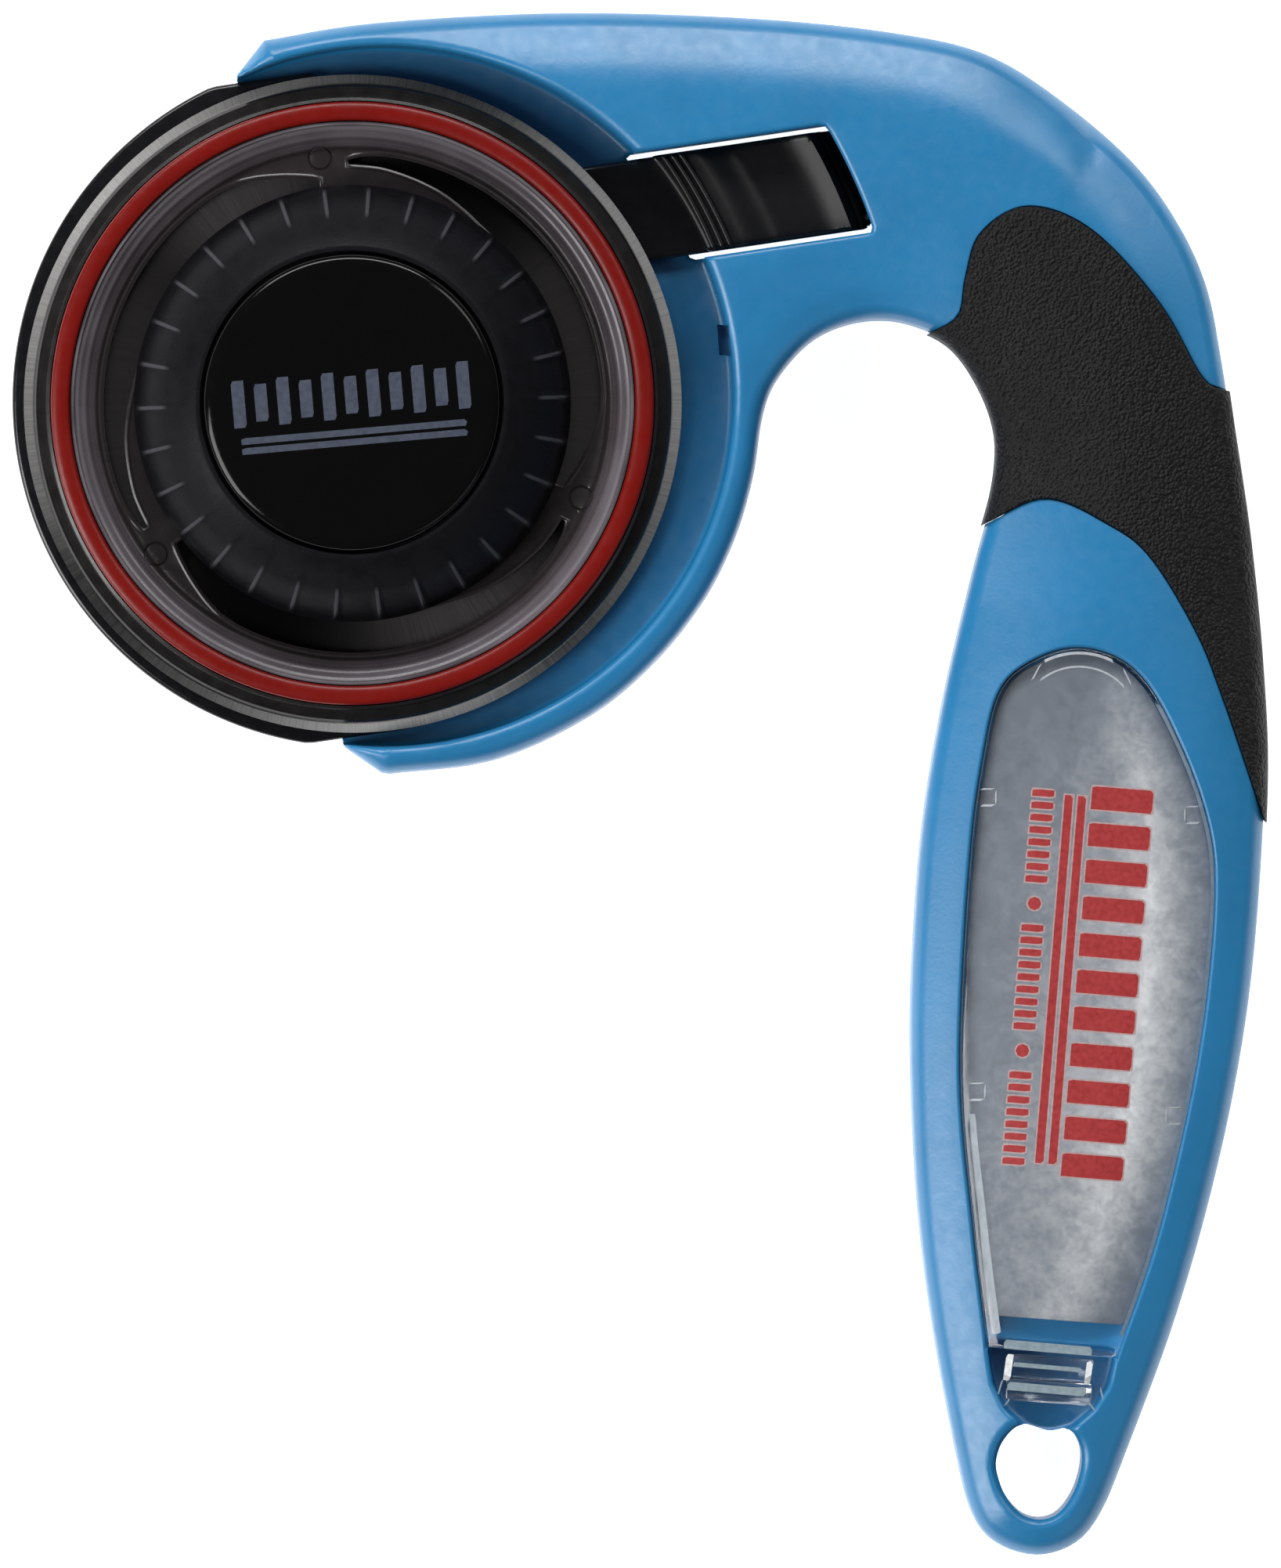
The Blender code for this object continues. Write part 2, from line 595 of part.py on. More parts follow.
def make_knob(knob_look, cap_look, insert_look):
    """Fluted clamping knob with its brass thread insert and its glossy cap."""
    profile = ((0, 26.3), (13.9, 26.3), (13.9, 27.3), (14.7, 27.4), (17.8, 25.0), (KNOB_RADIUS, 19.8),
               (KNOB_RADIUS, 18.0), (18.3, 18.0), (18.3, 19.4), (16.6, 24.0), (7.3, 24.6), (7.3, 19.6),
               (5.6, 19.6), (5.6, 25.6), (0, 25.6))
    steps = 2 * KNOB_FLUTES
    edit = bmesh.new()
    columns = []
    for k in range(steps):
        angle = 2 * pi * k / steps
        column = []
        for index, (radius, height) in enumerate(profile):
            if k % 2 and index in FLUTED_POINTS:
                radius -= FLUTE_DEPTH
            column.append(edit.verts.new((radius * cos(angle) * MM, radius * sin(angle) * MM, height * MM)))
        columns.append(column)
    for k in range(steps):
        here = columns[k]
        there = columns[(k + 1) % steps]
        for a, b, c, d in zip(here, there, there[1:], here[1:]):
            edit.faces.new((a, b, c, d))
    bmesh.ops.remove_doubles(edit, verts=edit.verts, dist=1e-7)
    bmesh.ops.recalc_face_normals(edit, faces=edit.faces)
    mesh = bpy.data.meshes.new("knob")
    edit.to_mesh(mesh)
    edit.free()
    knob = place(mesh, "knob", PARTS, knob_look)
    knob.location = (AXIS_X * MM, AXIS_Y * MM, 0)
    turned("knob_cap", ((0, KNOB_TOP), (12.6, 27.8), (CAP_RADIUS, 27.4), (CAP_RADIUS, 26.6), (0, 26.6)),
           cap_look, steps=48)
    turned("thread_insert", ((3.1, 25.3), (5.3, 25.3), (5.3, 19.9), (3.1, 19.9)), insert_look, steps=24,
           closed=True)


# ---------------------------------------------------------------------------------------------
# Storage compartment
# ---------------------------------------------------------------------------------------------

def make_lid(look):
    """Clear lid: a plate with a low skirt, set flush in the handle's front."""
    edge = inset(lid_outline(), LID_GAP)
    lid = prism("storage_lid", [edge], LID_SKIRT_LOW, LID_TOP, look)
    hollow = prism("lid_hollow", [inset(edge, 1.0)], LID_SKIRT_LOW - 1, LID_TOP - LID_PLATE)
    cut(lid, hollow)
    joint_origin(lid, LID_PIVOT_X, LID_PIVOT_Y, LID_TOP)


def make_latch(look):
    """Springy U at the lid's lower end, with a flange for the fingertip."""
    profile = ((0.0, 21.6), (0.0, 14.6), (-0.9, 13.9), (-2.2, 13.9), (-3.1, 14.6), (-3.1, 19.6), (-4.2, 19.6),
               (-4.2, 20.5), (-2.2, 20.5), (-2.2, 15.0), (-0.9, 15.0), (-0.9, 21.6))
    latch = prism("lid_latch", [[Vector(p) for p in profile]], -3.9, 3.9, look)
    stand = Matrix(((0, 0, 1, 0), (1, 0, 0, 0), (0, 1, 0, 0), (0, 0, 0, 1)))
    lean = Matrix.Rotation(LATCH_LEAN, 4, "Z")
    latch.data.transform(Matrix.Translation((LATCH_X * MM, LATCH_Y * MM, 0)) @ lean @ stand)
    weld(latch.data)
    joint_origin(latch, LATCH_X, LATCH_Y, LID_TOP - 0.5)


def make_card(look):
    """Label card held inside the lid's skirt, a little short of the lid's lower end."""
    outline = [p for p in inset(lid_outline(), CARD_INSET) if p.y > CARD_END_Y]
    card = prism("label_card", [outline], CARD_LOW, CARD_HIGH, look)
    joint_origin(card, LID_PIVOT_X, LID_PIVOT_Y, LID_TOP)


def main():
    """Build every part."""
    blue = material("blue_plastic", BLUE, 0.38)
    grip = material("soft_grip", GRIP_BLACK, 0.85)
    black = material("black_plastic", BLACK, 0.12)
    knob_black = material("knob_plastic", BLACK, 0.3)
    smoke = material("smoke_clear", SMOKE, 0.08, alpha=0.6)
    red = material("red_ring", RED, 0.3)
    clear = material("clear_plastic", CLEAR, 0.08, alpha=0.35)
    card = material("card", PAPER, 0.8)
    steel = material("blade_steel", STEEL, 0.35, metallic=1.0)
    zinc = material("zinc_steel", ZINC, 0.4, metallic=1.0)
    brass = material("brass", BRASS, 0.35, metallic=1.0)
    make_shells(blue)
    make_grips(grip)
    make_screws(zinc)
    make_guard(black)
    make_thumb_slides(black)
    make_detent(zinc)
    make_bolt(zinc)
    make_blade(steel)
    make_guide_disc(smoke, red)
    make_clamp(zinc, zinc)
    make_knob(knob_black, black, brass)
    make_lid(clear)
    make_latch(clear)
    make_card(card)


main()
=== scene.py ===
from math import atan2, cos, pi, radians, sin

import bmesh
import bpy
import numpy as np
from mathutils import Matrix, Vector
from mathutils.geometry import delaunay_2d_cdt
from mathutils.kdtree import KDTree


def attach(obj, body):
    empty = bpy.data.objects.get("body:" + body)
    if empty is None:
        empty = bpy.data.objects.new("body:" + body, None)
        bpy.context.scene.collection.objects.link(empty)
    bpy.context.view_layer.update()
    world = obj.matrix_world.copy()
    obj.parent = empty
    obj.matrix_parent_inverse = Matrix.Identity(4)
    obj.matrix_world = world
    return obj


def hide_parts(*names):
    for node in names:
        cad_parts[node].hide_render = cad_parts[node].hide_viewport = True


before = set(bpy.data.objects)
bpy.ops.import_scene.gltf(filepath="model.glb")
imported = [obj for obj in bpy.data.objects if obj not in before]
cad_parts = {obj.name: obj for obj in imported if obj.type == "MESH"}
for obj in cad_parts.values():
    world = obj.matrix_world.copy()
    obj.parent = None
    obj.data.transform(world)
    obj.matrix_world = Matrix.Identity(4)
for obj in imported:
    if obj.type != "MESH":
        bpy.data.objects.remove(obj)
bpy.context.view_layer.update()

# Hook-handled rotary cutter, lying on its back. The sizes below are millimetres; MM turns them to metres.
# Shells, grips, guard, disc, lid and card are solids between two height fields over a fitted mesh.
MM = 0.001

# Camera: straight down on the cutter. The frame is what the picture's long side spans.
CAMERA_DISTANCE = 4.0
FRAME_HEIGHT = 0.143
FRAME_LEVEL = 0.014

# Body
DEPTH = 22.0
MID = DEPTH / 2
SPLIT = MID + 0.12
WALL = 2.0
EDGE_ROUND = 1.3
EDGE_DRAFT = 0.12
DOME_DROP = 2.0
DOME_WIDTH = 14.0
HANDLE_DROP = 1.2
BEVEL_SLOPE = 0.42
BEVEL_WIDTH = 5.6
BEVEL_SOFT = 1.6
STEEP = 0.05

# Head
AXIS = np.array((-26.25, 34.68))
SLIDE_ANGLE = radians(8.4)
FLOOR_LEVEL = 13.0
RECESS_CENTRE = np.array((-23.4, 35.3))
RECESS_RADIUS = 31.9

# Slot and thumb slides, in the slide's own frame: u along, v across, from the blade axis
SLOT_LOW_V = 8.45
SLOT_HIGH_V = 18.75
SLOT_MOUTH_RADIUS = 33.5
SLOT_END_RADIUS = 50.0
RUN = ((40.0, 8.45), (58.6, 8.45), (58.6, 18.75), (40.0, 18.75))
SLIDE_LOW_V = 8.9
SLIDE_HIGH_V = 18.3
SLIDE_START_RADIUS = 35.2
SLIDE_END_RADIUS = 49.7
SLIDE_LIP_RADIUS = 48.1
REAR_SLOT_EASE = 0.3
REAR_SLIDE_END_RADIUS = 50.15
THUMB_LOW = 14.9
THUMB_TOP = 19.5
REAR_THUMB_LOW = 9.0
DISH_LEVEL = 17.3
RIB_PLACES = (35.8, 36.6, 37.35)
RIB_BEND = 0.0136
RIB_HALF = 0.3
RIB_RISE = 0.3

# Stack on the bolt
GUARD_LOW = 13.3
GUARD_HIGH = 14.6
GUARD_TRAVEL = 6.0
BLADE_LOW = 15.0
BLADE_HIGH = 15.3
BLADE_RADIUS = 30.0
DISC_LOW = 15.6
DISC_RADIUS = 29.05
DISC_BORE = 4.3
SLOT_TIP = radians(91)
BEADS = (23.45, 24.35, 25.0)
KNOB_FLUTES = 30
FLUTE_DEPTH = 0.42
RIB_PHASE = 0.125
CAP_TOP = 27.95

# Storage compartment
LID_GAP = 0.14
LID_PLATE = 1.2
LID_LOW = 18.6
LID_SUNK = 0.12
LEDGE_LEVEL = 18.3
LEDGE_WIDTH = 3.6
POCKET_FLOOR = 12.65
LATCH_FLOOR = 13.4
LATCH_PLACE = (37.4, -52.15, 0.0)
LATCH_LEAN = radians(-4.0)
LID_SKIRT = 0.35
CARD_INSET = 0.55
CARD_DROP = 1.75
CARD_THICK = 0.6
LID_ARC_CENTRE = (-45.1, -11.6)

# Grip
GRIP_PROUD = 0.33
GRIP_CORE = 1.45
GRIP_GAP = 0.04

SCREWS = ((8.0, 64.2), (39.0, 56.5), (41.5, 19.0), (27.9, -12.0))
SCREW_SEAT_RADIUS = 2.5
SCREW_SEAT_LEVEL = 2.9

BODY_OUTLINE = (
    (-34.4, 67.9), (-24.1, 69.5), (-7, 70.4), (10.2, 69.9), (23, 68.6), (31.6, 66.6), (38.7, 62.2),
    (45.2, 56.5), (49.3, 50.8), (51.8, 45.1), (53.1, 38.5), (54, 32.5), (55.5, 22.2), (56.6, 10.8),
    (57, 0), (56.1, -14.9), (54.5, -26.4), (52, -37.8), (48.7, -49.2), (44.5, -60.6), (42.1, -66.4),
    (39.7, -69.3), (36.1, -70.4), (32.3, -69.2), (30.1, -66.4), (28.6, -60.6), (26.5, -49.2),
    (25.1, -37.8), (24.5, -24.9), (24.7, -14.9), (25.6, -3.5), (27.5, 7.9), (30.2, 19.4), (32.4, 27.9),
    (32.1, 33.6), (28.9, 39.4), (24.6, 41.8), (20.2, 42.1), (15.9, 40.5), (12.6, 37), (11.2, 33.6),
    (10.3, 27.9), (8.6, 22.2), (5.7, 16.5), (1.1, 10.8), (-4.8, 6), (-13.4, 2.1), (-23.4, 0.8),
)
TOP_POINTS = 7
HEAD_CUT = ((-27.2, 3.4), (-37, 64.6))
GRIP_UPPER = (
    (25.8, 40.8), (28.9, 42.6), (29.6, 46.1), (31, 50.2), (35.3, 52.6), (41.1, 50.4), (47.3, 43.7),
    (51.1, 37.1), (53, 35.9),
)
GRIP_LOWER = (
    (56.9, -3.4), (53, 8), (50.5, 14.1), (46.4, 20.7), (42.7, 23.6), (37, 26), (31.5, 23.8),
)
LID_RIGHT = (
    (35.7, 11.3), (39.9, 12.5), (44.4, 11), (47.8, 6.6), (51.4, -2.1), (52.4, -10), (51, -24.2),
    (47.4, -40.5), (43.4, -52.4),
)
LID_LEFT = (
    (31.5, -51.4), (30.2, -40.5), (29, -26), (29.9, -7.1), (31.2, 2.9), (32.7, 8.6),
)
LATCH_BAY = (
    (31.5, -50.6), (43.4, -51.4), (42.7, -54.8), (41.3, -57), (39.4, -58.6), (37.2, -59.2),
    (35.1, -58.6), (33.2, -56.9), (32.1, -54.6),
)
HANG_HOLE = (
    (34.7, -58.35), (37.2, -58.95), (39, -58.75), (40, -60.1), (40.2, -61.7), (39.8, -63.6),
    (39, -65.3), (37.8, -66.6), (36.2, -67), (34.6, -66.4), (33.3, -64.9), (32.6, -63.2),
    (32.4, -61.6), (33.1, -59.7),
)
NOTCH = np.array(((7.2, 39.1), (8.3, 39), (8, 41.8), (7, 41.9)))
TONGUE = (39.9, 5.1)
TABS = ((31.6, -1.2), (50.3, -2.8), (30.6, -28), (48.6, -30.2))
CARD_END = ((31.6, -48.4), (44.6, -49.3))


# ---- Flat geometry ----

def smooth(points, closed=False, steps=8):
    """Points of a Catmull-Rom curve through the given points."""
    points = np.array(points, float)
    if closed:
        path = np.vstack((points[-1], points, points[:2]))
    else:
        path = np.vstack((2 * points[0] - points[1], points, 2 * points[-1] - points[-2]))
    out = []
    for p0, p1, p2, p3 in zip(path, path[1:], path[2:], path[3:]):
        for t in np.arange(steps) / steps:
            out.append(0.5 * (2 * p1 + (p2 - p0) * t + (2 * p0 - 5 * p1 + 4 * p2 - p3) * t * t
                              + (3 * p1 - p0 - 3 * p2 + p3) * t ** 3))
    return np.array(out if closed else [*out, points[-1]])


def resample(loop, step):
    """The same closed line with its points an even step apart."""
    path = np.vstack((loop, loop[:1]))
    along = np.concatenate(([0.0], np.cumsum(np.hypot(*np.diff(path, axis=0).T))))
    count = max(int(round(along[-1] / step)), 3)
    places = np.linspace(0.0, along[-1], count + 1)[:-1]
    return np.column_stack([np.interp(places, along, path[:, k]) for k in (0, 1)])


def inset(loop, distance):
    """Move a closed line inwards by a distance; a negative distance moves it outwards."""
    before = np.roll(loop, 1, axis=0)
    side = np.sign(np.sum(before[:, 0] * loop[:, 1] - before[:, 1] * loop[:, 0]))
    mitre = 0
    for edge in (loop - before, np.roll(loop, -1, axis=0) - loop):
        length = np.maximum(np.hypot(*edge.T), 1e-9)
        mitre = mitre + np.column_stack((-edge[:, 1], edge[:, 0])) * side / length[:, None]
    scale = 2 * distance / np.maximum((mitre ** 2).sum(axis=1), 1.0)
    return loop + mitre * scale[:, None]


def arc(centre, radius, start, end, steps):
    """Points along an arc; angles in radians."""
    angle = np.linspace(start, end, steps + 1)
    return np.column_stack((centre[0] + radius * np.cos(angle), centre[1] + radius * np.sin(angle)))


def ring(centre, radius, steps):
    """A circle's points."""
    return arc(centre, radius, 0.0, 2 * pi, steps)[:-1]


def from_slide(points):
    """Places of points given along and across the guard's slide, from the blade axis."""
    u, v = np.array(points).T
    return AXIS + np.column_stack((u * cos(SLIDE_ANGLE) - v * sin(SLIDE_ANGLE),
                                   u * sin(SLIDE_ANGLE) + v * cos(SLIDE_ANGLE)))


def to_slide(points):
    """Along and across the slide of each point."""
    rel = points - AXIS
    return (rel[:, 0] * cos(SLIDE_ANGLE) + rel[:, 1] * sin(SLIDE_ANGLE),
            -rel[:, 0] * sin(SLIDE_ANGLE) + rel[:, 1] * cos(SLIDE_ANGLE))


def radial_band(low_radius, high_radius, low_v, high_v, steps=12):
    """Piece of the slide's track between two circles about the blade axis."""
    def edge(radius, v_from, v_to):
        across = np.linspace(v_from, v_to, steps + 1)
        return np.column_stack(((radius * radius - across * across) ** 0.5, across))
    return from_slide(np.vstack((edge(low_radius, low_v, high_v), edge(high_radius, high_v, low_v))))


def rounded(loop, radius):
    """A closed line with its sharp corners cut round."""
    out = []
    for before, here, after in zip(np.roll(loop, 1, axis=0), loop, np.roll(loop, -1, axis=0)):
        back = before - here
        ahead = after - here
        if abs(atan2(-back[0] * ahead[1] + back[1] * ahead[0], -back @ ahead)) < radians(30):
            out.append(here)
            continue
        reach = min(radius, np.hypot(*back) * 0.5, np.hypot(*ahead) * 0.5)
        first = here + back / np.hypot(*back) * reach
        last = here + ahead / np.hypot(*ahead) * reach
        for t in np.linspace(0, 1, 6):
            out.append((1 - t) ** 2 * first + 2 * t * (1 - t) * here + t * t * last)
    return np.array(out)


def distance(points, loop, closed=True):
    """Distance from each point to a line."""
    ends = np.roll(loop, -1, axis=0) if closed else loop[1:]
    starts = loop if closed else loop[:-1]
    best = np.full(len(points), 1e9)
    for start, end in zip(starts, ends):
        along = end - start
        length = max(along @ along, 1e-12)
        t = np.clip((points - start) @ along / length, 0, 1)
        gap = points - start - t[:, None] * along
        np.minimum(best, (gap ** 2).sum(axis=1), out=best)
    return np.sqrt(best)


def inside(points, loop):
    """Whether each point lies inside a closed line."""
    x, y = points.T
    found = np.zeros(len(points), bool)
    for start, end in zip(loop, np.roll(loop, -1, axis=0)):
        crosses = (start[1] > y) != (end[1] > y)
        if crosses.any():
            at = start[0] + (y - start[1]) * (end[0] - start[0]) / (end[1] - start[1] + 1e-15)
            found ^= crosses & (x < at)
    return found


def depth(points, loop):
    """Distance inside a closed line; negative outside it."""
    gap = distance(points, loop)
    return np.where(inside(points, loop), gap, -gap)


# ---- Outlines ----

# The shells' outline is closed by the straight cut at the head's left, the lid's by its straight lower end.
# The grip's area runs past the body's edge on both sides.
OUTLINE = inset(np.vstack((smooth(BODY_OUTLINE), HEAD_CUT)), 0.04)
TOP_EDGE = smooth(BODY_OUTLINE[:TOP_POINTS])
LID_EDGE = smooth(LID_LEFT + LID_RIGHT)
GRIP_AREA = np.vstack((smooth(GRIP_UPPER), ((61.0, 34.5), (61.0, -6.0)),
                       smooth(GRIP_LOWER), ((27.0, 21.0), (21.0, 30.0), (24.2, 39.2))))
SLOT_LOOP = rounded(radial_band(SLOT_MOUTH_RADIUS, SLOT_END_RADIUS, SLOT_LOW_V, SLOT_HIGH_V), 1.1)
RUN_LOOP = resample(from_slide(RUN), 0.8)
HANG_LOOP = resample(smooth(HANG_HOLE, closed=True, steps=5), 0.5)
LATCH_LOOP = resample(rounded(np.array(LATCH_BAY), 1.0), 0.6)


# ---- Height fields ----

def away(points, centre=AXIS):
    """Distance of each point from a centre."""
    return np.hypot(*(points - centre).T)


def blend(first, second, share):
    """The first height where the share is 0, the second where it is 1."""
    return first * (1 - share) + second * share


def step(into):
    """0 outside a cut's edge, 1 inside, over a very narrow band."""
    return np.clip(into / STEEP, 0, 1)


def quarter(depth_in, radius):
    """How far a round edge lies below its top, at a distance in from the edge."""
    t = np.clip(depth_in, 0, radius)
    return radius - np.sqrt(np.maximum(radius ** 2 - (radius - t) ** 2, 0))


def round_lip(into, radius):
    """How far a round lip drops towards the edge of a hole."""
    t = np.clip(into + radius, 0, radius)
    return radius - np.sqrt(np.maximum(radius ** 2 - t ** 2, 0))


def carve(height, into, floor, round_out, round_in):
    """Sink a height field to a floor inside a cut, with a round lip and a round foot."""
    lip = height - round_lip(into, round_out)
    foot = floor + quarter(into - STEEP, round_in)
    return np.where(into <= 0, lip, np.minimum(height, blend(lip, foot, step(into))))


def insets(loop, size, *shares):
    """The loop moved inwards by each share of a size."""
    return [inset(loop, size * share) for share in shares]


def carve_rings(loop, round_out, round_in):
    """Lines that the mesh follows round a cut."""
    offsets = [STEEP + round_in * s for s in (0.12, 0.4, 1)]
    return insets(loop, -round_out, 1, 0.72, 0.45, 0.22, 0.07) + insets(loop, 1, 0.0, STEEP, *offsets)


def swell(points, inward):
    """Shallow relief near the edge: a soft shoulder, and raised lines beside it and at the crook."""
    def near(x, y, reach):
        return np.exp(-((points[:, 0] - x) ** 2 + (points[:, 1] - y) ** 2) / reach ** 2)

    def line(level, width):
        return np.exp(-((inward - level) / width) ** 2)

    height = -0.05 * np.clip(3.4 - inward, 0, 3.4) ** 2 * near(39.0, 61.5, 8.0)
    height += 0.62 * line(6.2, 3.6) * near(44.5, 51.5, 10.5)
    height += 0.16 * line(3.2, 1.3) * near(18.5, 45.0, 8.0)
    return height


def body_surface(points, inward, proud=0.0):
    """Height of the front's outer skin at a distance in from its edge, which may stand proud."""
    from_top = distance(points, TOP_EDGE, closed=False) + proud
    off_top = np.clip((from_top - inward) / 3.0, 0, 1)
    on_handle = np.clip((30.0 - points[:, 1]) / 14.0, 0, 1) * (points[:, 0] > 18.0)
    drop = DOME_DROP + HANDLE_DROP * on_handle
    dome = drop * np.clip(1 - inward / (DOME_WIDTH - 2.0 * on_handle), 0, 1) ** 2 * off_top
    reach = BEVEL_WIDTH - from_top
    soft = np.where(reach > BEVEL_SOFT, reach,
                    np.where(reach < -BEVEL_SOFT, 0, (reach + BEVEL_SOFT) ** 2 / (4 * BEVEL_SOFT)))
    top = np.minimum(DEPTH - dome - BEVEL_SLOPE * soft + swell(points, inward), DEPTH)
    round_edge = top - quarter(inward - EDGE_DRAFT, EDGE_ROUND)
    return blend(SPLIT, round_edge, np.clip(inward / EDGE_DRAFT, 0, 1))


EDGE_RINGS = [0.0, EDGE_DRAFT] + [EDGE_DRAFT + EDGE_ROUND * s for s in (0.03, 0.1, 0.22, 0.42, 0.7, 1)]


def skin(points, sunk=0.0):
    """Outer skin of the front, or the same skin sunk inwards by a distance on all sides."""
    return body_surface(points, depth(points, OUTLINE) - sunk) - sunk


# ---- Meshes ----

def triangulate(lines, seeds):
    """Triangles with edges along the given closed lines and points at the seeds."""
    points = []
    edges = []
    for line in lines:
        first = len(points)
        points.extend(Vector(p) for p in line)
        edges.extend((first + i, first + (i + 1) % len(line)) for i in range(len(line)))
    points.extend(Vector(p) for p in seeds)
    made = delaunay_2d_cdt(points, edges, [], 0, 1e-5)
    return np.array([tuple(v) for v in made[0]]), np.array([tuple(f) for f in made[2]])


def grid_seeds(loop, spacing, lines):
    """Staggered points over a loop's area, clear of the lines."""
    low = loop.min(axis=0)
    high = loop.max(axis=0)
    places = []
    for number, y in enumerate(np.arange(low[1], high[1], spacing * 0.866)):
        x = np.arange(low[0] + (number % 2) * spacing / 2, high[0], spacing)
        places.append(np.column_stack((x, np.full(len(x), y))))
    gap = spacing * 0.5
    marks = np.vstack([resample(line, gap) for line in lines])
    tree = KDTree(len(marks))
    for i, mark in enumerate(marks):
        tree.insert((*mark, 0), i)
    tree.balance()
    return [seed for seed in np.vstack(places) if tree.find((*seed, 0))[2] > gap]


def heights(level, points):
    """Values of a height field; a plain number stands for a flat one."""
    return level(points) if callable(level) else np.full(len(points), level)


def solid(name, lines, top, bottom, outline=None, spacing=None, keep=None, flip=False):
    """Solid between two height fields, over the triangles that `keep` accepts or that lie in the outline.

    The mesh follows the lines, with loose points a spacing apart. flip mirrors it about the middle plane.
    """
    seeds = grid_seeds(outline, spacing, lines) if spacing else []
    points, triangles = triangulate(lines, seeds)
    centres = points[triangles].mean(axis=1)
    triangles = triangles[keep(centres) if keep else inside(centres, outline)]
    used, triangles = np.unique(triangles, return_inverse=True)
    triangles = triangles.reshape(-1, 3)
    points = points[used]
    high = heights(top, points)
    low = np.minimum(heights(bottom, points), high)
    count = len(points)
    under = np.where(high - low < 1e-4, np.arange(count), np.arange(count) + count)
    faces = [*triangles, *under[triangles][:, ::-1]]
    directed = dict.fromkeys((t[i], t[(i + 1) % 3]) for t in triangles for i in range(3))
    for a, b in directed:
        if (b, a) not in directed:
            wall = tuple(dict.fromkeys((a, under[a], under[b], b)))
            if len(wall) > 2:
                faces.append(wall)
    corners = np.vstack((np.column_stack((points, high)), np.column_stack((points, low))))
    if flip:
        corners[:, 2] = DEPTH - corners[:, 2]
        faces = [face[::-1] for face in faces]
    return mesh_object(name, corners, faces)


def mesh_object(name, corners, faces, sharp=38.0, weld=False):
    """Object of corners in mm and faces, without loose corners; weld joins those that meet."""
    mesh = bpy.data.meshes.new(name)
    mesh.from_pydata((np.array(corners) * MM).tolist(), [], [tuple(int(i) for i in f) for f in faces])
    edit = bmesh.new()
    edit.from_mesh(mesh)
    bmesh.ops.delete(edit, geom=[v for v in edit.verts if not v.link_faces], context="VERTS")
    bmesh.ops.dissolve_degenerate(edit, dist=1e-9, edges=edit.edges)
    if weld:
        bmesh.ops.remove_doubles(edit, verts=edit.verts, dist=1e-7)
        bmesh.ops.recalc_face_normals(edit, faces=edit.faces)
    return put(name, edit, mesh, sharp)


def put(name, edit, mesh=None, sharp=None):
    """Put an edited mesh in the scene, smooth but for edges sharper than an angle, if one is given."""
    mesh = mesh or bpy.data.meshes.new(name)
    edit.to_mesh(mesh)
    edit.free()
    if sharp:
        mesh.shade_smooth()
        mesh.set_sharp_from_angle(angle=radians(sharp))
    obj = bpy.data.objects.new(name, mesh)
    bpy.context.scene.collection.objects.link(obj)
    return obj


def turned(name, profile, steps=180, closed=False, ripple=None, centre=AXIS, sharp=38.0):
    """Solid turned about an upright axis; ripple takes something off the profile's radius."""
    corners = []
    for k in range(steps):
        angle = 2 * pi * k / steps
        for radius, height in profile:
            if ripple:
                radius -= ripple(angle, radius, height)
            corners.append((centre[0] + radius * cos(angle), centre[1] + radius * sin(angle), height))
    count = len(profile)
    faces = []
    for k in range(steps):
        here = k * count
        there = (k + 1) % steps * count
        for i in range(count if closed else count - 1):
            j = (i + 1) % count
            faces.append((here + i, here + j, there + j, there + i))
    return mesh_object(name, corners, faces, sharp, weld=True)


def paint(obj, look):
    """Give an object one material."""
    obj.data.materials.clear()
    obj.data.materials.append(look)


def dress(obj, look, body, slot, *nodes):
    """Give a piece its material and its body, and hide the CAD nodes that it stands for; the slot is not
    used.
    """
    paint(obj, look)
    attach(obj, body)
    if nodes:
        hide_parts(*nodes)
    return obj


# ---- Materials ----

